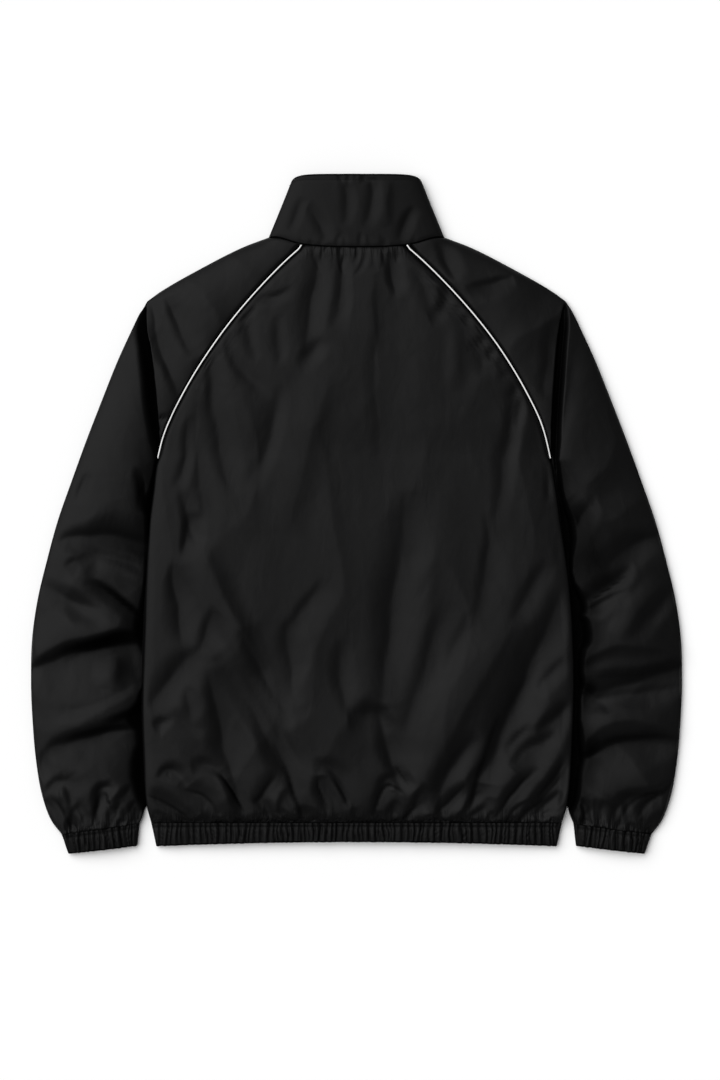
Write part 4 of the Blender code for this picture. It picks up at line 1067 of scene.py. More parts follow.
def spun_thread(name, colour):
    finish = Finish(name, colour, 0.6, Specular_IOR_Level=0.15)
    place = finish.place()
    twist = finish.wave(finish.stretched(place, (1, 1, 1), (0, 0, 0.6)), 900.0, "X")
    finish.set("Base Color", finish.blend(twist, toned(colour, 0.8), colour))
    finish.set("Normal", finish.bump(twist, 0.00004))
    return finish.material


def enamel(name, colour):
    finish = Finish(name, colour, 0.3, Metallic=0.6, Coat_Weight=0.3)
    place = finish.place()
    wear = finish.noise(place, 900.0, detail=4.0)
    finish.set("Roughness", wear * 0.25 + 0.22)
    finish.set("Normal", finish.bump(wear, 0.00002))
    return finish.material


def tape_weave(name, colour):
    finish = Finish(name, colour, 0.7, Sheen_Weight=0.1)
    place = finish.place()
    rows = finish.wave(place, 420.0, "Y")
    finish.set("Base Color", finish.blend(rows, toned(colour, 0.7), colour))
    finish.set("Normal", finish.bump(rows, 0.00008))
    return finish.material


@cache
def finish_of(name):
    """The named material, made once from the colours in the panel."""
    colours = bpy.context.scene.windbreaker_colours
    if name == "shell":
        return nylon("shell_nylon", tuple(colours.shell), colours.shell_roughness, 1.0)
    if name == "casing":
        return nylon("casing_nylon", tuple(colours.casing), colours.shell_roughness + 0.04, 0.6)
    if name == "piping":
        return satin_cord("white_piping", tuple(colours.piping))
    if name == "tape":
        return tape_weave("zip_tape", tuple(colours.tape))
    if name == "metal":
        return enamel("black_enamel", tuple(colours.metal))
    return spun_thread("black_thread", tuple(colours.thread))


def dress(piece, finish, replaced=()):
    """Gives the piece its finish, fixes it to the garment and hides the frame's nodes it stands for."""
    piece.data.materials.clear()
    piece.data.materials.append(finish_of(finish))
    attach(piece, "garment")
    if replaced:
        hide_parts(*replaced)
    return piece


# Pieces


def side_spread(count, density=0.4):
    """Places from -1 to 1, closer together near the ends."""
    even = np.linspace(-1, 1, count)
    return (1 - density) * even + density * np.sin(even * math.pi / 2)


def back_rows(step):
    """The y of each row of the back or a front, closer together by the neck and the hem."""
    neck_end, hem_end = NECK_Y - 30, HEM_Y + 70
    top = np.linspace(NECK_Y, neck_end, int(30 / (step * 0.8)), endpoint=False)
    middle = np.linspace(neck_end, hem_end, int((NECK_Y - HEM_Y - 100) / (step * 1.85)), endpoint=False)
    low = np.linspace(hem_end, HEM_Y + 0.01, int(70 / (step * 0.75)))
    return np.concatenate([top, middle, low])


def make_back(sizes):
    y = back_rows(sizes.grid)
    gap = sizes.piping_radius / MM + PIPING_GROOVE
    corner_x, corner_y = raglan_point(y, -gap * ease(y, UNDERARM_Y - 12, UNDERARM_Y + 2))
    across = side_spread(int(2 * BACK_HALF / (sizes.grid * 0.92)))
    x = corner_x[:, None] * across
    row_y = np.broadcast_to(y[:, None], x.shape)
    left, right = edge_shift(row_y, "left"), edge_shift(row_y, "right")
    plan_x = x + (right - left) / 2 + (right + left) / 2 * across
    neck = ease(y, NECK_Y - NECK_REACH, NECK_Y)[:, None]
    plan_y = corner_y[:, None] + (neck_y(plan_x) - neck_y(corner_x)[:, None]) * neck
    plan_y = plan_y - SEAM / 2 * ease(y, NECK_Y - 1, NECK_Y)[:, None]

    # heights, with the dips to the seams all round
    nip_and_painted_shade = pinch_nip_and_painted_shade(x, row_y, BODY_PINCHES)
    z = body_top(x, row_y, corner_x[:, None]) - NIP * nip_and_painted_shade
    inside = corner_x[:, None] - np.abs(x)
    seam = ease(row_y, UNDERARM_Y - 10, UNDERARM_Y + 10)
    z = z - SEAM_DIP * bell(inside, SEAM_DIP_REACH) * seam
    z = z - 1.2 * bell(row_y - NECK_Y, 3.5) - 0.8 * bell(row_y - HEM_Y, 2.0)
    grid = np.stack([plan_x, plan_y, z], axis=2)

    # a narrow turning along both sides, then the wall
    turned = grid[:, [0, -1]].copy()
    turned[..., 0] -= np.sign(turned[..., 0]) * 0.5
    turned[..., 2] -= 1.6
    grid = np.concatenate([turned[:, :1], grid, turned[:, 1:]], axis=1)
    inner = grid - (0, 0, sizes.cloth / MM)
    inner[..., 0] *= 1 - 0.6 / BACK_HALF
    piece = closed_wall("back_panel", grid, inner)

    # painted shade along the raglan seams, the neck and the pinches; and the pleats
    tucked = np.maximum(bell(inside, 1.3) * seam, bell(row_y - NECK_Y, 1.2) * (np.abs(x) < corner_x[:, None]))
    tucked = np.maximum(tucked, nip_and_painted_shade)
    pleats = np.exp(-(row_y - HEM_Y) / PLEAT_FADE) + 0.4 * bell(row_y - NECK_Y, 9)
    for layer, shares in (("tucked", tucked), ("pleats", pleats)):
        mark(piece, layer, np.pad(shares, ((0, 0), (1, 1)), mode="edge"))
    dress(piece, "shell", ["back"])


def make_front(sizes, side):
    turn = SIDES[side]
    y = back_rows(sizes.grid * 1.3)
    corner_x, corner_y = raglan_point(y, -SEAM / 2, front=True)
    across = 1 - np.cos(np.linspace(0, math.pi / 2, int(190 / sizes.grid)))
    x = corner_x[:, None] + (FRONT_EDGE - corner_x[:, None]) * across
    neck = ease(y, NECK_Y - NECK_REACH, NECK_Y)[:, None]
    plan_y = corner_y[:, None] + (front_neck_y(x) - front_neck_y(corner_x)[:, None]) * neck
    plan_y = plan_y - SEAM / 2 * ease(y, NECK_Y - 1, NECK_Y)[:, None]
    row_y = np.broadcast_to(y[:, None], x.shape)
    z = raised_edge(corner_x[:, None] - x, body_at(row_y, "bottom")) + zip_lift(x, plan_y)
    inside = ease(corner_x[:, None] - x, 0, 14) * ease(x, FRONT_EDGE, LIFT_END)
    inside = inside * ease(row_y, HEM_Y, HEM_Y + 12)
    folds = creased(x * turn, row_y, FRONT_CREASES, round_ridge=1.6) + 0.8 * crumpled(x * turn, row_y, 90)
    z = z + np.clip(folds, 0, None) * inside
    z = z + 1.6 * np.clip(FRONT_HEM_RIBS.at(x * turn), 0, None) * np.exp(-(row_y - HEM_Y) / 14)
    grid = np.stack([x * turn, plan_y, z], axis=2)
    piece = closed_wall(f"{side}_front", grid, grid + (0, 0, sizes.cloth / MM))
    dress(piece, "shell", [f"front_{side}"])


def sleeve_sections(sizes):
    """The sections from the collar to the cuff, as columns, and which of them are on the cap."""
    cap_rows = int(260 / (sizes.grid * 1.5))
    gap = sizes.piping_radius / MM + PIPING_GROOVE
    rows = np.concatenate([cap_sections(cap_rows, gap), arm_sections(sizes.grid * 1.2)])
    on_cap = (np.arange(len(rows)) < cap_rows)[:, None]
    return ArmSection(*(rows[:, [column]] for column in range(rows.shape[1]))), on_cap


def sleeve_top(sizes, side, section, on_cap, at_neck, reach):
    """The sleeve from the raglan seam to its outer fold, with its painted shade and its pleats."""
    turn = SIDES[side]
    across = (1 - np.cos(np.linspace(0, np.pi, int(170 / sizes.grid)))) / 2
    x = section.back_x + (section.outer_x - section.back_x) * across
    y = section.back_y + (section.outer_y - section.back_y) * across
    x = x + edge_shift(section.back_y, side) * (1 - across) * ease(section.back_y, 40, UNDERARM_Y)
    y = y + (neck_y(x) - SEAM / 2 - y) * at_neck * (1 - across**4)
    length = np.hypot(section.outer_x - section.back_x, section.outer_y - section.back_y)

    # the swell of the sleeve, its creases and its gathers
    z = FOLD_Z + (section.top - FOLD_Z) * np.sqrt(np.clip(1 - across**2.2, 0, 1))
    skew = 1 + getattr(SLEEVE_SKEW, side) * (1 - 2 * across)
    z = z + section.crown * sleeve_rise(across, section.full) * skew
    cuff = ease(y, ARM[-1].y, ARM[-1].y + 30)
    edges = ease(across, 0, 0.04) * ease(1 - across, 0, 0.02)
    z = z + crumpled(x * turn, y, 60 + turn, 1.2) * edges * (0.3 + 0.7 * cuff)
    dents = creased(x * turn, y, getattr(SLEEVE_CREASES, side)) * (0.35 + 0.65 * cuff)
    dents = dents + creased(x * turn, y, getattr(CUFF_GATHERS, side))
    z = z + np.maximum(dents * edges, -0.7 * (z - 1.5))
    nip_and_painted_shade = pinch_nip_and_painted_shade(x * turn, y, getattr(SLEEVE_PINCHES, side))

    # the fold below the shoulder, and the arm tucked in beside and under the body
    z, shift, fold_painted_shade = shoulder_fold(x, y, z - NIP * nip_and_painted_shade * edges, side)
    sunk, gap_painted_shade = side_gap(x, y, z, side)
    z = np.where(on_cap, z, sunk)
    under_body = np.clip(x - body_edge(y, side) + 4.5, 0, None) * ease(-y, -72, -60) * ease(y, -354, -340)
    x = x + shift - under_body * (1 - ease(across * length, 0, 7)) * ~on_cap

    # the dip to the raglan seam, never below the underside
    from_seam = np.clip(np.where(on_cap, across * length + shift, x - section.front_x), 0, None)
    z = z - SEAM_DIP * bell(across * length, SEAM_DIP_REACH) * on_cap
    z = np.maximum(z, raised_edge(from_seam, section.bottom, reach) + 1.2)

    # painted shade in the folds, gaps, pinches, along the seam and the outer fold; and the pleats
    tucked = np.maximum(fold_painted_shade, np.where(on_cap, bell(across * length, 1.3), gap_painted_shade))
    tucked = np.maximum.reduce([tucked, nip_and_painted_shade, bell((1 - across) * length, PAINTED_OUTLINE_WIDTH)])
    seam_y = CUFF_SEAM[0][1] + across * length * (ARM[-1].outer_y - ARM[-1].y) / length[-1]
    pleats = np.exp(-np.clip(y - seam_y, 0, None) / PLEAT_FADE)
    return np.stack([x, y, z], axis=2), tucked, pleats


def sleeve_under(sizes, side, section, at_neck, length, reach):
    """The sleeve's underside, from its outer fold back to the seam."""
    out = 1 - np.cos(np.linspace(0.08, math.pi / 2, int(80 / sizes.grid)))
    x = section.outer_x + (section.front_x - section.outer_x) * out
    y = section.outer_y + (section.front_y - section.outer_y) * out
    hold = at_neck * ease(out, 0, 0.2) * (1 - (at_neck < 1) * ease(out, 0.7, 1))
    y = y + (front_neck_y(x) - SEAM / 2 - y) * hold
    x = x - 2.4 * bell(y - UNDERARM_Y, 7) * ease(out, 0.85, 1)
    z = folded_edge(out * length) + raised_edge((1 - out) * length, section.bottom, reach)
    creases = [crease._replace(depth=UNDER_DEPTH) for crease in getattr(SLEEVE_CREASES, side)[5:]]
    dents = np.clip(creased(x * SIDES[side], y, creases), 0, None)
    z = z + dents * ease(out, 0.15, 0.4) * ease(1 - out, 0.1, 0.4)
    return np.stack([x, y, z], axis=2)


def make_sleeve(sizes, side):
    section, on_cap = sleeve_sections(sizes)
    at_neck = np.zeros(on_cap.shape)
    at_neck[:4, 0] = (1, 0.7, 0.4, 0.15)
    length = np.hypot(section.front_x - section.outer_x, section.front_y - section.outer_y)
    reach = np.minimum(LIFT_REACH, 0.4 * length)
    top, tucked, pleats = sleeve_top(sizes, side, section, on_cap, at_neck, reach)
    under = sleeve_under(sizes, side, section, at_neck, length, reach)
    grid = np.concatenate([top, under], axis=1)
    inner = thickened(grid, sizes.cloth / MM)
    for wall in (grid, inner):
        wall[..., 0] *= SIDES[side]
    piece = closed_wall(f"{side}_sleeve", grid, inner)
    for layer, shares in (("tucked", tucked), ("pleats", pleats)):
        mark(piece, layer, np.concatenate([shares, np.zeros(under.shape[:2])], axis=1))
    dress(piece, "shell", [f"sleeve_{side}"])


def casing_section(half, rise, roundness, count, front_edge=0.0):
    """Across, height and the under flag of the points round a flat casing, evenly spaced."""
    over = half * np.sin(np.linspace(math.pi / 2, -math.pi / 2, 4000))
    roll = half - np.linspace(FOLD_REACH, 0.0, 60)
    right = np.concatenate([np.linspace(front_edge, half - FOLD_REACH, 200), roll[1:]])
    across = np.concatenate([right[:-1], over, -right[::-1][1:]])
    under = np.arange(len(across))
    under = (under < len(right) - 1) | (under >= len(right) - 1 + len(over))
    high = np.where(under, folded_edge(half - np.abs(across)), FOLD_Z + rise * lens(across / half, roundness))
    length = np.concatenate([[0], np.cumsum(np.hypot(np.diff(across), np.diff(high)))])
    at = np.linspace(0, length[-1], count, endpoint=bool(front_edge))
    switch = length[[len(right) - 1, len(right) - 2 + len(over)]]
    return np.interp(at, length, across), np.interp(at, length, high), (at < switch[0]) | (at > switch[1])


def casing_normal(across, high):
    """The way out of the casing, as across and height parts."""
    tangent_x, tangent_z = np.gradient(across), np.gradient(high)
    length = np.hypot(tangent_x, tangent_z)
    return tangent_z / length, -tangent_x / length


def folded_casing(name, outer, inward, thickness, ring):
    """A doubled wall whose last row is a round fold. inward holds each point's way in."""
    inner = outer + inward * thickness
    away = outer[-1] - outer[-2]
    away /= np.linalg.norm(away, axis=1, keepdims=True)
    middle = (outer[-1] + inner[-1]) / 2
    spread = outer[-1] - middle
    for angle in np.linspace(0, math.pi / 2, FOLD_STEPS + 1)[1:]:
        lifted = middle + away * thickness / 2 * math.sin(angle)
        outer = np.concatenate([outer, [lifted + spread * math.cos(angle)]])
        inner = np.concatenate([inner, [lifted - spread * math.cos(angle)]])
    return closed_wall(name, outer, inner, ring)


def sew_casing(name, node, rows, thickness, stitch_share, ring=False):
    """Makes a casing from its rows of points, ways in and painted shades, and sews it along the row at the
    share of its height. Returns the casing and its stitches."""
    outer, inward, painted_casing_shade = (np.array(column) for column in zip(*rows))
    # painted shade: the fold at the free edge is painted fully dark
    painted_casing_shade[-1] = 1.0
    piece = folded_casing(name, outer, inward, thickness, ring)
    mark(piece, "tucked", np.pad(painted_casing_shade, ((0, FOLD_STEPS), (0, 0)), mode="edge"))
    dress(piece, "casing", [node])
    row = round(stitch_share * (len(rows) - 1))
    stitches = sewn(name + "_stitches", outer[row], -inward[row])
    return piece, dress(stitches, "thread")


Waves = namedtuple("Waves", "start slow quick fine")
HEM_WAVES = Waves(2.9, 0.06, 0.21, 0.13)
CUFF_WAVES = Waves(2.8, 0.11, 0.31, 0.17)


def gathered(across, share, under, upper, lower, waves, turn=1):
    """The height of a casing's ribs, which waver a little from its seam to its edge."""
    way = across + 0.9 * np.sin(share * waves.start + across * waves.slow)
    way = way + 0.5 * np.sin(share * 5.0 + across * waves.quick)
    ribs = np.where(under, lower.at(way), upper.at(way * turn))
    return 0.7 * ribs + 0.3 * FINE_RIBS.at(across + 0.7 * np.cos(share * 3.6 + across * waves.fine))


def make_collar(sizes):
    rows = []
    columns = int(420 / (sizes.grid * 0.75))
    for share in np.linspace(0, 1, int(COLLAR_HEIGHT / (sizes.grid * 0.8))):
        half = COLLAR_BASE + (COLLAR_TOP - COLLAR_BASE) * share
        across, high, under = casing_section(half, COLLAR_RISE, COLLAR_ROUND, columns, FRONT_EDGE)
        part = np.clip(np.abs(across) / half, 0, 1)
        base = np.where(under, front_neck_y(part * COLLAR_BASE), neck_y(part * COLLAR_BASE)) + SEAM / 2
        back_top = COLLAR_CORNER_Y + (COLLAR_TOP_Y - 1.1 - COLLAR_CORNER_Y) * np.sqrt(1 - part**8)
        front_top = COLLAR_FRONT_TOP_Y + (COLLAR_CORNER_Y - COLLAR_FRONT_TOP_Y) * part**3
        y = base + (np.where(under, front_top, back_top) - base) * share
        out_x, out_z = casing_normal(across, high)
        sewn_in = 0.5 * bell(share * COLLAR_HEIGHT - COLLAR_STITCH, 1.2)
        dent = creased(across, y, COLLAR_CREASES) + creased(across, y, COLLAR_GATHERS)
        dent = (dent - bell(y - base, 3.0) - sewn_in) * ease(half - np.abs(across), 1, 12)
        dent = np.where(under, -sewn_in, dent)
        lift = np.where(under, zip_lift(across, y), 0)
        # painted shade along the outer edges and along the seam at the collar's foot
        painted_casing_shade = np.maximum(bell(half - np.abs(across), PAINTED_OUTLINE_WIDTH), bell(y - base, 1.2) * ~under)
        points = np.column_stack([across + out_x * dent, y, high + out_z * dent + lift])
        rows.append((points, np.column_stack([-out_x, np.zeros_like(y), -out_z]), painted_casing_shade))
    stitch_share = COLLAR_STITCH / COLLAR_HEIGHT
    piece, stitches = sew_casing("stand_collar", "collar", rows, CASING_WALL, stitch_share)


def make_hem_band(sizes):
    rows = []
    columns = int(980 / (sizes.grid * 0.55))
    seam_half, seam = BODY[-1].half_width, HEM_Y - SEAM / 2
    for share in np.linspace(0, 1, int(CASING_HEIGHT / (sizes.grid * 0.6))):
        half = seam_half + (HEM_BOTTOM_HALF - seam_half) * share
        across, high, under = casing_section(half, HEM_RISE, HEM_ROUND, columns, FRONT_EDGE)
        bottom = HEM_BOTTOM_CENTRE_Y + 1.1 + (HEM_BOTTOM_Y - HEM_BOTTOM_CENTRE_Y) * (across / half) ** 2
        ribs = gathered(across, share, under, HEM_RIBS, FRONT_HEM_RIBS, HEM_WAVES)
        y = seam + (bottom + 0.6 * (1 - ribs) - seam) * share
        out_x, out_z = casing_normal(across, high)
        swell = np.sin(math.pi * share) * 0.9 - 1.3 * bell(share * CASING_HEIGHT - CASING_STITCH, 1.3)
        dent = 5.0 * (ribs - 0.75) * (0.75 + 0.25 * np.sin(math.pi * share)) + swell
        dent = dent * ease(half - np.abs(across), -1, 6) * np.where(under, ease(np.abs(across), 6, 14), 1.0)
        dent = np.where(under, np.minimum(dent, -0.05), dent)
        lift = np.where(under, zip_lift(across, y), 0)
        # painted shade in the rib valleys and along the outer edges
        painted_casing_shade = np.maximum(RIB_PAINTED_SHADE * (1 - ribs) ** 3, bell(half - np.abs(across), PAINTED_OUTLINE_WIDTH))
        points = np.column_stack([across + out_x * dent, y, high + out_z * dent + lift])
        rows.append((points, np.column_stack([-out_x, np.zeros_like(y), -out_z]), painted_casing_shade))
    stitch_share = CASING_STITCH / CASING_HEIGHT
    piece, stitches = sew_casing("hem_casing", "hem_band", rows, CASING_WALL, stitch_share)


def make_cuff(sizes, side):
    rows = []
    mirror = (SIDES[side], 1, 1)
    columns = int(190 / (sizes.grid * 0.5))
    seam, end = np.array(CUFF_SEAM), np.array(CUFF_END)
    for share in np.linspace(0, 1, int(CASING_HEIGHT / (sizes.grid * 0.6))):
        inside, outside = seam + (end - seam) * share - (0, SEAM / 2)
        half = np.linalg.norm(outside - inside) / 2
        way = (outside - inside) / (2 * half)
        across, high, under = casing_section(half, CUFF_RISE, CUFF_ROUND, columns)
        ribs = gathered(across, share, under, CUFF_RIBS, CUFF_UNDER_RIBS, CUFF_WAVES, SIDES[side])
        out_x, out_z = casing_normal(across, high)
        swell = np.sin(math.pi * share) * 0.8 - 1.2 * bell(share * CASING_HEIGHT - CASING_STITCH, 1.3)
        dent = (5.4 * (ribs - 0.75) + swell) * ease(half - np.abs(across), -1, 6)
        dent = np.where(under, np.minimum(dent, -0.05), dent)
        plan = (inside + outside) / 2 + np.outer(across + out_x * dent, way)
        plan[:, 1] += 0.6 * (1 - ribs) * share + 1.0 * share
        # painted shade in the rib valleys and along the outer edges
        painted_casing_shade = np.maximum(RIB_PAINTED_SHADE * (1 - ribs) ** 3, bell(half - np.abs(across), PAINTED_OUTLINE_WIDTH))
        points = np.column_stack([plan, high + out_z * dent]) * mirror
        inward = np.column_stack([-out_x * way[0], -out_x * way[1], -out_z]) * mirror
        rows.append((points, inward, painted_casing_shade))
    stitch_share = CASING_STITCH / CASING_HEIGHT
    piece, stitches = sew_casing(f"{side}_cuff", f"cuff_{side}", rows, CUFF_WALL, stitch_share, ring=True)


def cord(name, centres, sides, radius):
    """A round cord along the centres, closed at both ends."""
    tangent = np.gradient(centres, axis=0)
    tangent /= np.linalg.norm(tangent, axis=1, keepdims=True)
    side_ways = np.cross(tangent, (0.0, 0.0, 1.0))
    side_ways /= np.linalg.norm(side_ways, axis=1, keepdims=True)
    up_ways = np.cross(side_ways, tangent)
    angles = (2 * np.pi * np.arange(sides) / sides)[None, :, None]
    spokes = np.cos(angles) * side_ways[:, None] + np.sin(angles) * up_ways[:, None]
    rings = centres[:, None] + radius * spokes
    points = np.concatenate([rings.reshape(-1, 3), centres[[0, -1]]]) * MM
    corner = np.arange(sides)
    after = (corner + 1) % sides
    last = (len(centres) - 1) * sides
    first_cap = np.column_stack([after, corner, np.full(sides, last + sides)])
    last_cap = np.column_stack([corner + last, after + last, np.full(sides, last + sides + 1)])
    faces = grid_faces(len(centres), sides, ring=True).tolist() + first_cap.tolist() + last_cap.tolist()
    return finished_mesh(name, points, faces)


def make_piping(sizes, side):
    y = np.linspace(NECK_Y - 2.6, UNDERARM_Y - 2.5, 240)
    x, plan_y = raglan_point(y, 0.0)
    x = (x + edge_shift(y, side)) * SIDES[side]
    centres = np.column_stack([x, plan_y, body_at(y, "top") - PIPING_SINK])
    piece = cord(f"{side}_piping", centres, PIPING_SIDES, sizes.piping_radius / MM)
    dress(piece, "piping", [f"piping_{side}"])


def make_tape(sizes, side):
    y = np.linspace(TAPE_LOW[1], TAPE_HIGH[1], 90)[:, None]
    x = np.linspace(TAPE_INSET, TAPE_INSET + sizes.tape_width / MM, 7)
    z = zip_lift(x, y) + sizes.cloth / MM + 0.1
    grid = np.stack(np.broadcast_arrays(x * SIDES[side], y, z), axis=2)
    piece = closed_wall(f"{side}_tape", grid, grid + (0, 0, TAPE_WALL))
    dress(piece, "tape", [f"zip_tape_{side}"])


def make_teeth():
    """One moulded tooth, then a copy of it for each place along both tapes, and the box that ends them."""
    bpy.ops.object.select_all(action="DESELECT")
    bpy.ops.mesh.primitive_cube_add(size=1, location=(0, 0, 0))
    tooth = bpy.context.object
    tooth.name = "zip_teeth"
    bpy.ops.object.mode_set(mode="EDIT")
    bpy.ops.transform.resize(value=TOOTH)
    bpy.ops.mesh.select_all(action="DESELECT")
    bpy.ops.object.mode_set(mode="OBJECT")
    for face in tooth.data.polygons:
        face.select = face.normal.z < -0.5
    bpy.ops.object.mode_set(mode="EDIT")
    bpy.ops.mesh.inset(thickness=0.22 * MM, depth=0.2 * MM)
    bpy.ops.object.mode_set(mode="OBJECT")
    corners = np.array([vertex.co for vertex in tooth.data.vertices]) / MM
    faces = np.array([face.vertices for face in tooth.data.polygons])
    low, high = TAPE_LOW[1] + 8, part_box("zip_slider")[0][1] / MM - 1
    points, polygons = [], []
    for number, y in enumerate(np.arange(low, high, TOOTH_PITCH / 2)):
        side = 1 if number % 2 else -1
        copy = corners * (side, 1, 1) + (side * TOOTH_OFFSET, y, 0)
        polygons.append((faces if side > 0 else faces[:, ::-1]) + len(points) * len(corners))
        points.append(copy)
    points.append(corners / (np.array(TOOTH) / MM) * ZIP_BOX + (0, low - 5, 0))
    polygons.append(faces + (len(points) - 1) * len(corners))
    points = np.concatenate(points)
    points[:, 2] += zip_lift(np.zeros(len(points)), points[:, 1]) + 0.65
    teeth = finished_mesh("zip_teeth", points * MM, np.concatenate(polygons).tolist())
    teeth.data.shade_flat()
    bpy.data.objects.remove(tooth)
    dress(teeth, "metal")


def make_floor():
    """A wide sheet of pale paper, just below the garment."""
    bpy.ops.object.select_all(action="DESELECT")
    bpy.ops.mesh.primitive_plane_add(size=6.0, location=(0, 0, -0.0004))
    floor = bpy.context.object
    floor.name = "floor"
    paper = Finish("white_paper", (0.97, 0.97, 0.97), 0.9, Specular_IOR_Level=0.1)
    grain = paper.noise(paper.place(), 400.0)
    paper.set("Normal", paper.bump(grain, 0.00001))
    floor.data.materials.append(paper.material)


def add_light():
    """A broad light from above the collar, on the left, and a faint light from all round."""
    light = bpy.data.lights.new("key", "SUN")
    light.energy = 3.3
    light.angle = math.radians(70)
    lamp = linked("key", light)
    lamp.rotation_euler = Vector((-0.50, 0.34, 0.80)).to_track_quat("Z", "Y").to_euler()
    world = bpy.context.scene.world or bpy.data.worlds.new("studio")
    bpy.context.scene.world = world
    world.use_nodes = True
    background = world.node_tree.nodes["Background"]
    background.inputs["Color"].default_value = (1.0, 1.0, 1.0, 1.0)
    background.inputs["Strength"].default_value = 0.2


def add_camera():
    """Straight above the garment, far enough for an even view."""
    view_height, distance = 1.2908, 4.0
    camera = bpy.data.cameras.new("camera")
    camera.lens = camera.sensor_width / 2 / (view_height / 2 / distance)
    seat = linked("camera", camera)
    seat.location = (0.0042, -0.0306, distance + 0.015)
    bpy.context.scene.camera = seat


# Add-on


class WindbreakerSizes(bpy.types.PropertyGroup):
    grid: FloatProperty(
        name="Grid", description="Spacing of the cloth's points, in millimetres", default=2.3, min=1.0
    )
    cloth: FloatProperty(
        name="Cloth", description="Thickness of the shell cloth", default=0.0008, unit="LENGTH"
    )
    piping_radius: FloatProperty(
        name="Piping", description="Radius of the piping", default=0.00085, unit="LENGTH"
    )
    tape_width: FloatProperty(
        name="Tape", description="Width of each zip tape", default=0.0105, unit="LENGTH"
    )


def colour_of(name, what, default):
    what = f"Colour of the {what}"
    return FloatVectorProperty(name=name, description=what, default=default, subtype="COLOR")


class WindbreakerColours(bpy.types.PropertyGroup):
    shell: colour_of("Shell", "shell", (0.0023, 0.0023, 0.0024))
    # the casings' colour is darker than the shell's: painted shade standing in for the shade between the
    # hem's and cuffs' gathered ribs
    casing: colour_of("Casing", "casings", (0.0018, 0.0018, 0.0019))
    piping: colour_of("Piping", "piping", (0.93, 0.93, 0.92))
    tape: colour_of("Tape", "zip's tapes", (0.012, 0.012, 0.013))
    metal: colour_of("Zip", "slider, its pull and the teeth", (0.02, 0.02, 0.022))
    thread: colour_of("Thread", "stitches", (0.0035, 0.0035, 0.0036))
    shell_roughness: FloatProperty(
        name="Roughness", description="Roughness of the shell", default=0.5, min=0.0, max=1.0
    )


class WINDBREAKER_OT_back(bpy.types.Operator):
    """Make the back panel"""

    bl_idname = "windbreaker.back"
    bl_label = "Back"

    def execute(self, context):
        make_back(context.scene.windbreaker_sizes)
        return {"FINISHED"}


class WINDBREAKER_OT_fronts(bpy.types.Operator):
    """Make the two fronts"""

    bl_idname = "windbreaker.fronts"
    bl_label = "Fronts"

    def execute(self, context):
        for side in SIDES:
            make_front(context.scene.windbreaker_sizes, side)
        return {"FINISHED"}


class WINDBREAKER_OT_sleeves(bpy.types.Operator):
    """Make the two raglan sleeves"""

    bl_idname = "windbreaker.sleeves"
    bl_label = "Sleeves"

    def execute(self, context):
        for side in SIDES:
            make_sleeve(context.scene.windbreaker_sizes, side)
        return {"FINISHED"}


class WINDBREAKER_OT_casings(bpy.types.Operator):
    """Make the collar, the hem casing and the cuffs"""

    bl_idname = "windbreaker.casings"
    bl_label = "Collar and casings"

    def execute(self, context):
        sizes = context.scene.windbreaker_sizes
        make_collar(sizes)
        make_hem_band(sizes)
        for side in SIDES:
            make_cuff(sizes, side)
        return {"FINISHED"}


class WINDBREAKER_OT_piping(bpy.types.Operator):
    """Make the piping in the back raglan seams"""

    bl_idname = "windbreaker.piping"
    bl_label = "Piping"

    def execute(self, context):
        for side in SIDES:
            make_piping(context.scene.windbreaker_sizes, side)
        return {"FINISHED"}


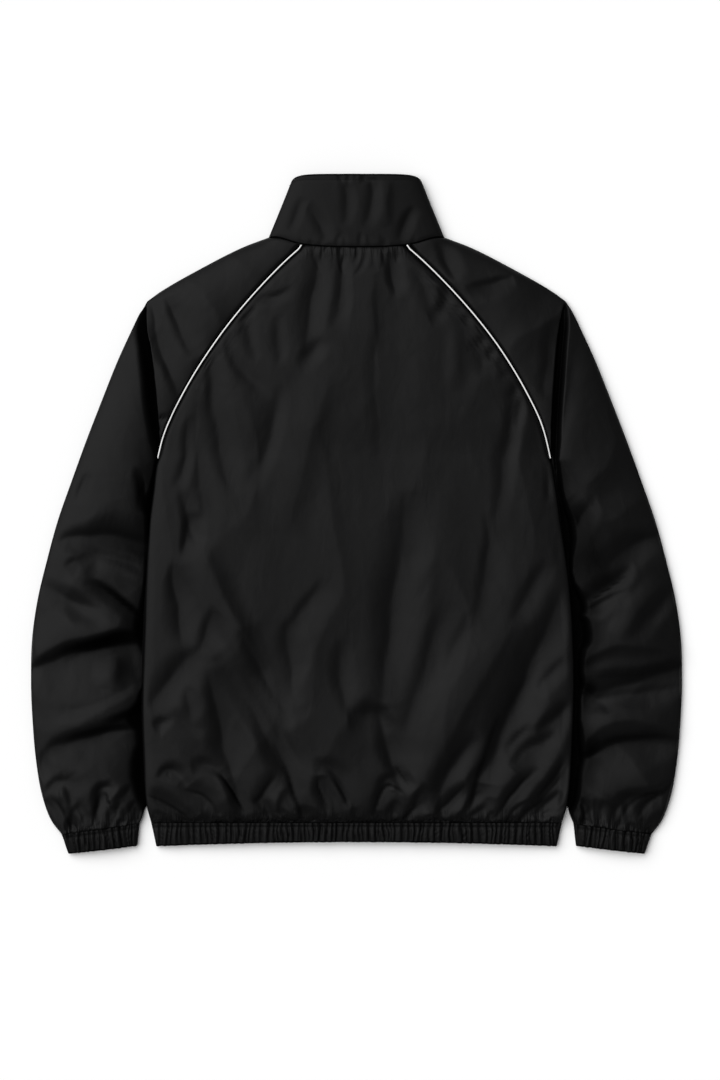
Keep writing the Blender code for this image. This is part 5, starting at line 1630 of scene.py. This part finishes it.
class WINDBREAKER_OT_zip(bpy.types.Operator):
    """Make the zip's tapes and finish its slider and pull"""

    bl_idname = "windbreaker.zip"
    bl_label = "Zip"

    def execute(self, context):
        for side in SIDES:
            make_tape(context.scene.windbreaker_sizes, side)
        make_teeth()
        for node in ("zip_slider", "zip_pull"):
            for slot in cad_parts[node].material_slots:
                slot.link = "OBJECT"
                slot.material = finish_of("metal")
        return {"FINISHED"}


class WINDBREAKER_OT_stage(bpy.types.Operator):
    """Make the floor, the lights and the camera"""

    bl_idname = "windbreaker.stage"
    bl_label = "Stage"

    def execute(self, context):
        make_floor()
        add_light()
        add_camera()
        context.scene.view_settings.view_transform = "Standard"
        return {"FINISHED"}


class WINDBREAKER_PT_panel(bpy.types.Panel):
    bl_label = "Windbreaker"
    bl_idname = "WINDBREAKER_PT_panel"
    bl_space_type = "VIEW_3D"
    bl_region_type = "UI"
    bl_category = "Windbreaker"

    def draw(self, context):
        for group in (context.scene.windbreaker_sizes, context.scene.windbreaker_colours):
            for name in group.__annotations__:
                self.layout.prop(group, name)
        for operator in OPERATORS:
            self.layout.operator(operator.bl_idname)


OPERATORS = (
    WINDBREAKER_OT_back,
    WINDBREAKER_OT_fronts,
    WINDBREAKER_OT_sleeves,
    WINDBREAKER_OT_casings,
    WINDBREAKER_OT_piping,
    WINDBREAKER_OT_zip,
    WINDBREAKER_OT_stage,
)
CLASSES = (WindbreakerSizes, WindbreakerColours, *OPERATORS, WINDBREAKER_PT_panel)


def register():
    for cls in CLASSES:
        bpy.utils.register_class(cls)
    bpy.types.Scene.windbreaker_sizes = PointerProperty(type=WindbreakerSizes)
    bpy.types.Scene.windbreaker_colours = PointerProperty(type=WindbreakerColours)


def unregister():
    del bpy.types.Scene.windbreaker_colours
    del bpy.types.Scene.windbreaker_sizes
    for cls in reversed(CLASSES):
        bpy.utils.unregister_class(cls)


def main():
    register()
    bpy.ops.windbreaker.back()
    bpy.ops.windbreaker.fronts()
    bpy.ops.windbreaker.sleeves()
    bpy.ops.windbreaker.casings()
    bpy.ops.windbreaker.piping()
    bpy.ops.windbreaker.zip()
    bpy.ops.windbreaker.stage()


if __name__ == "__main__":
    main()
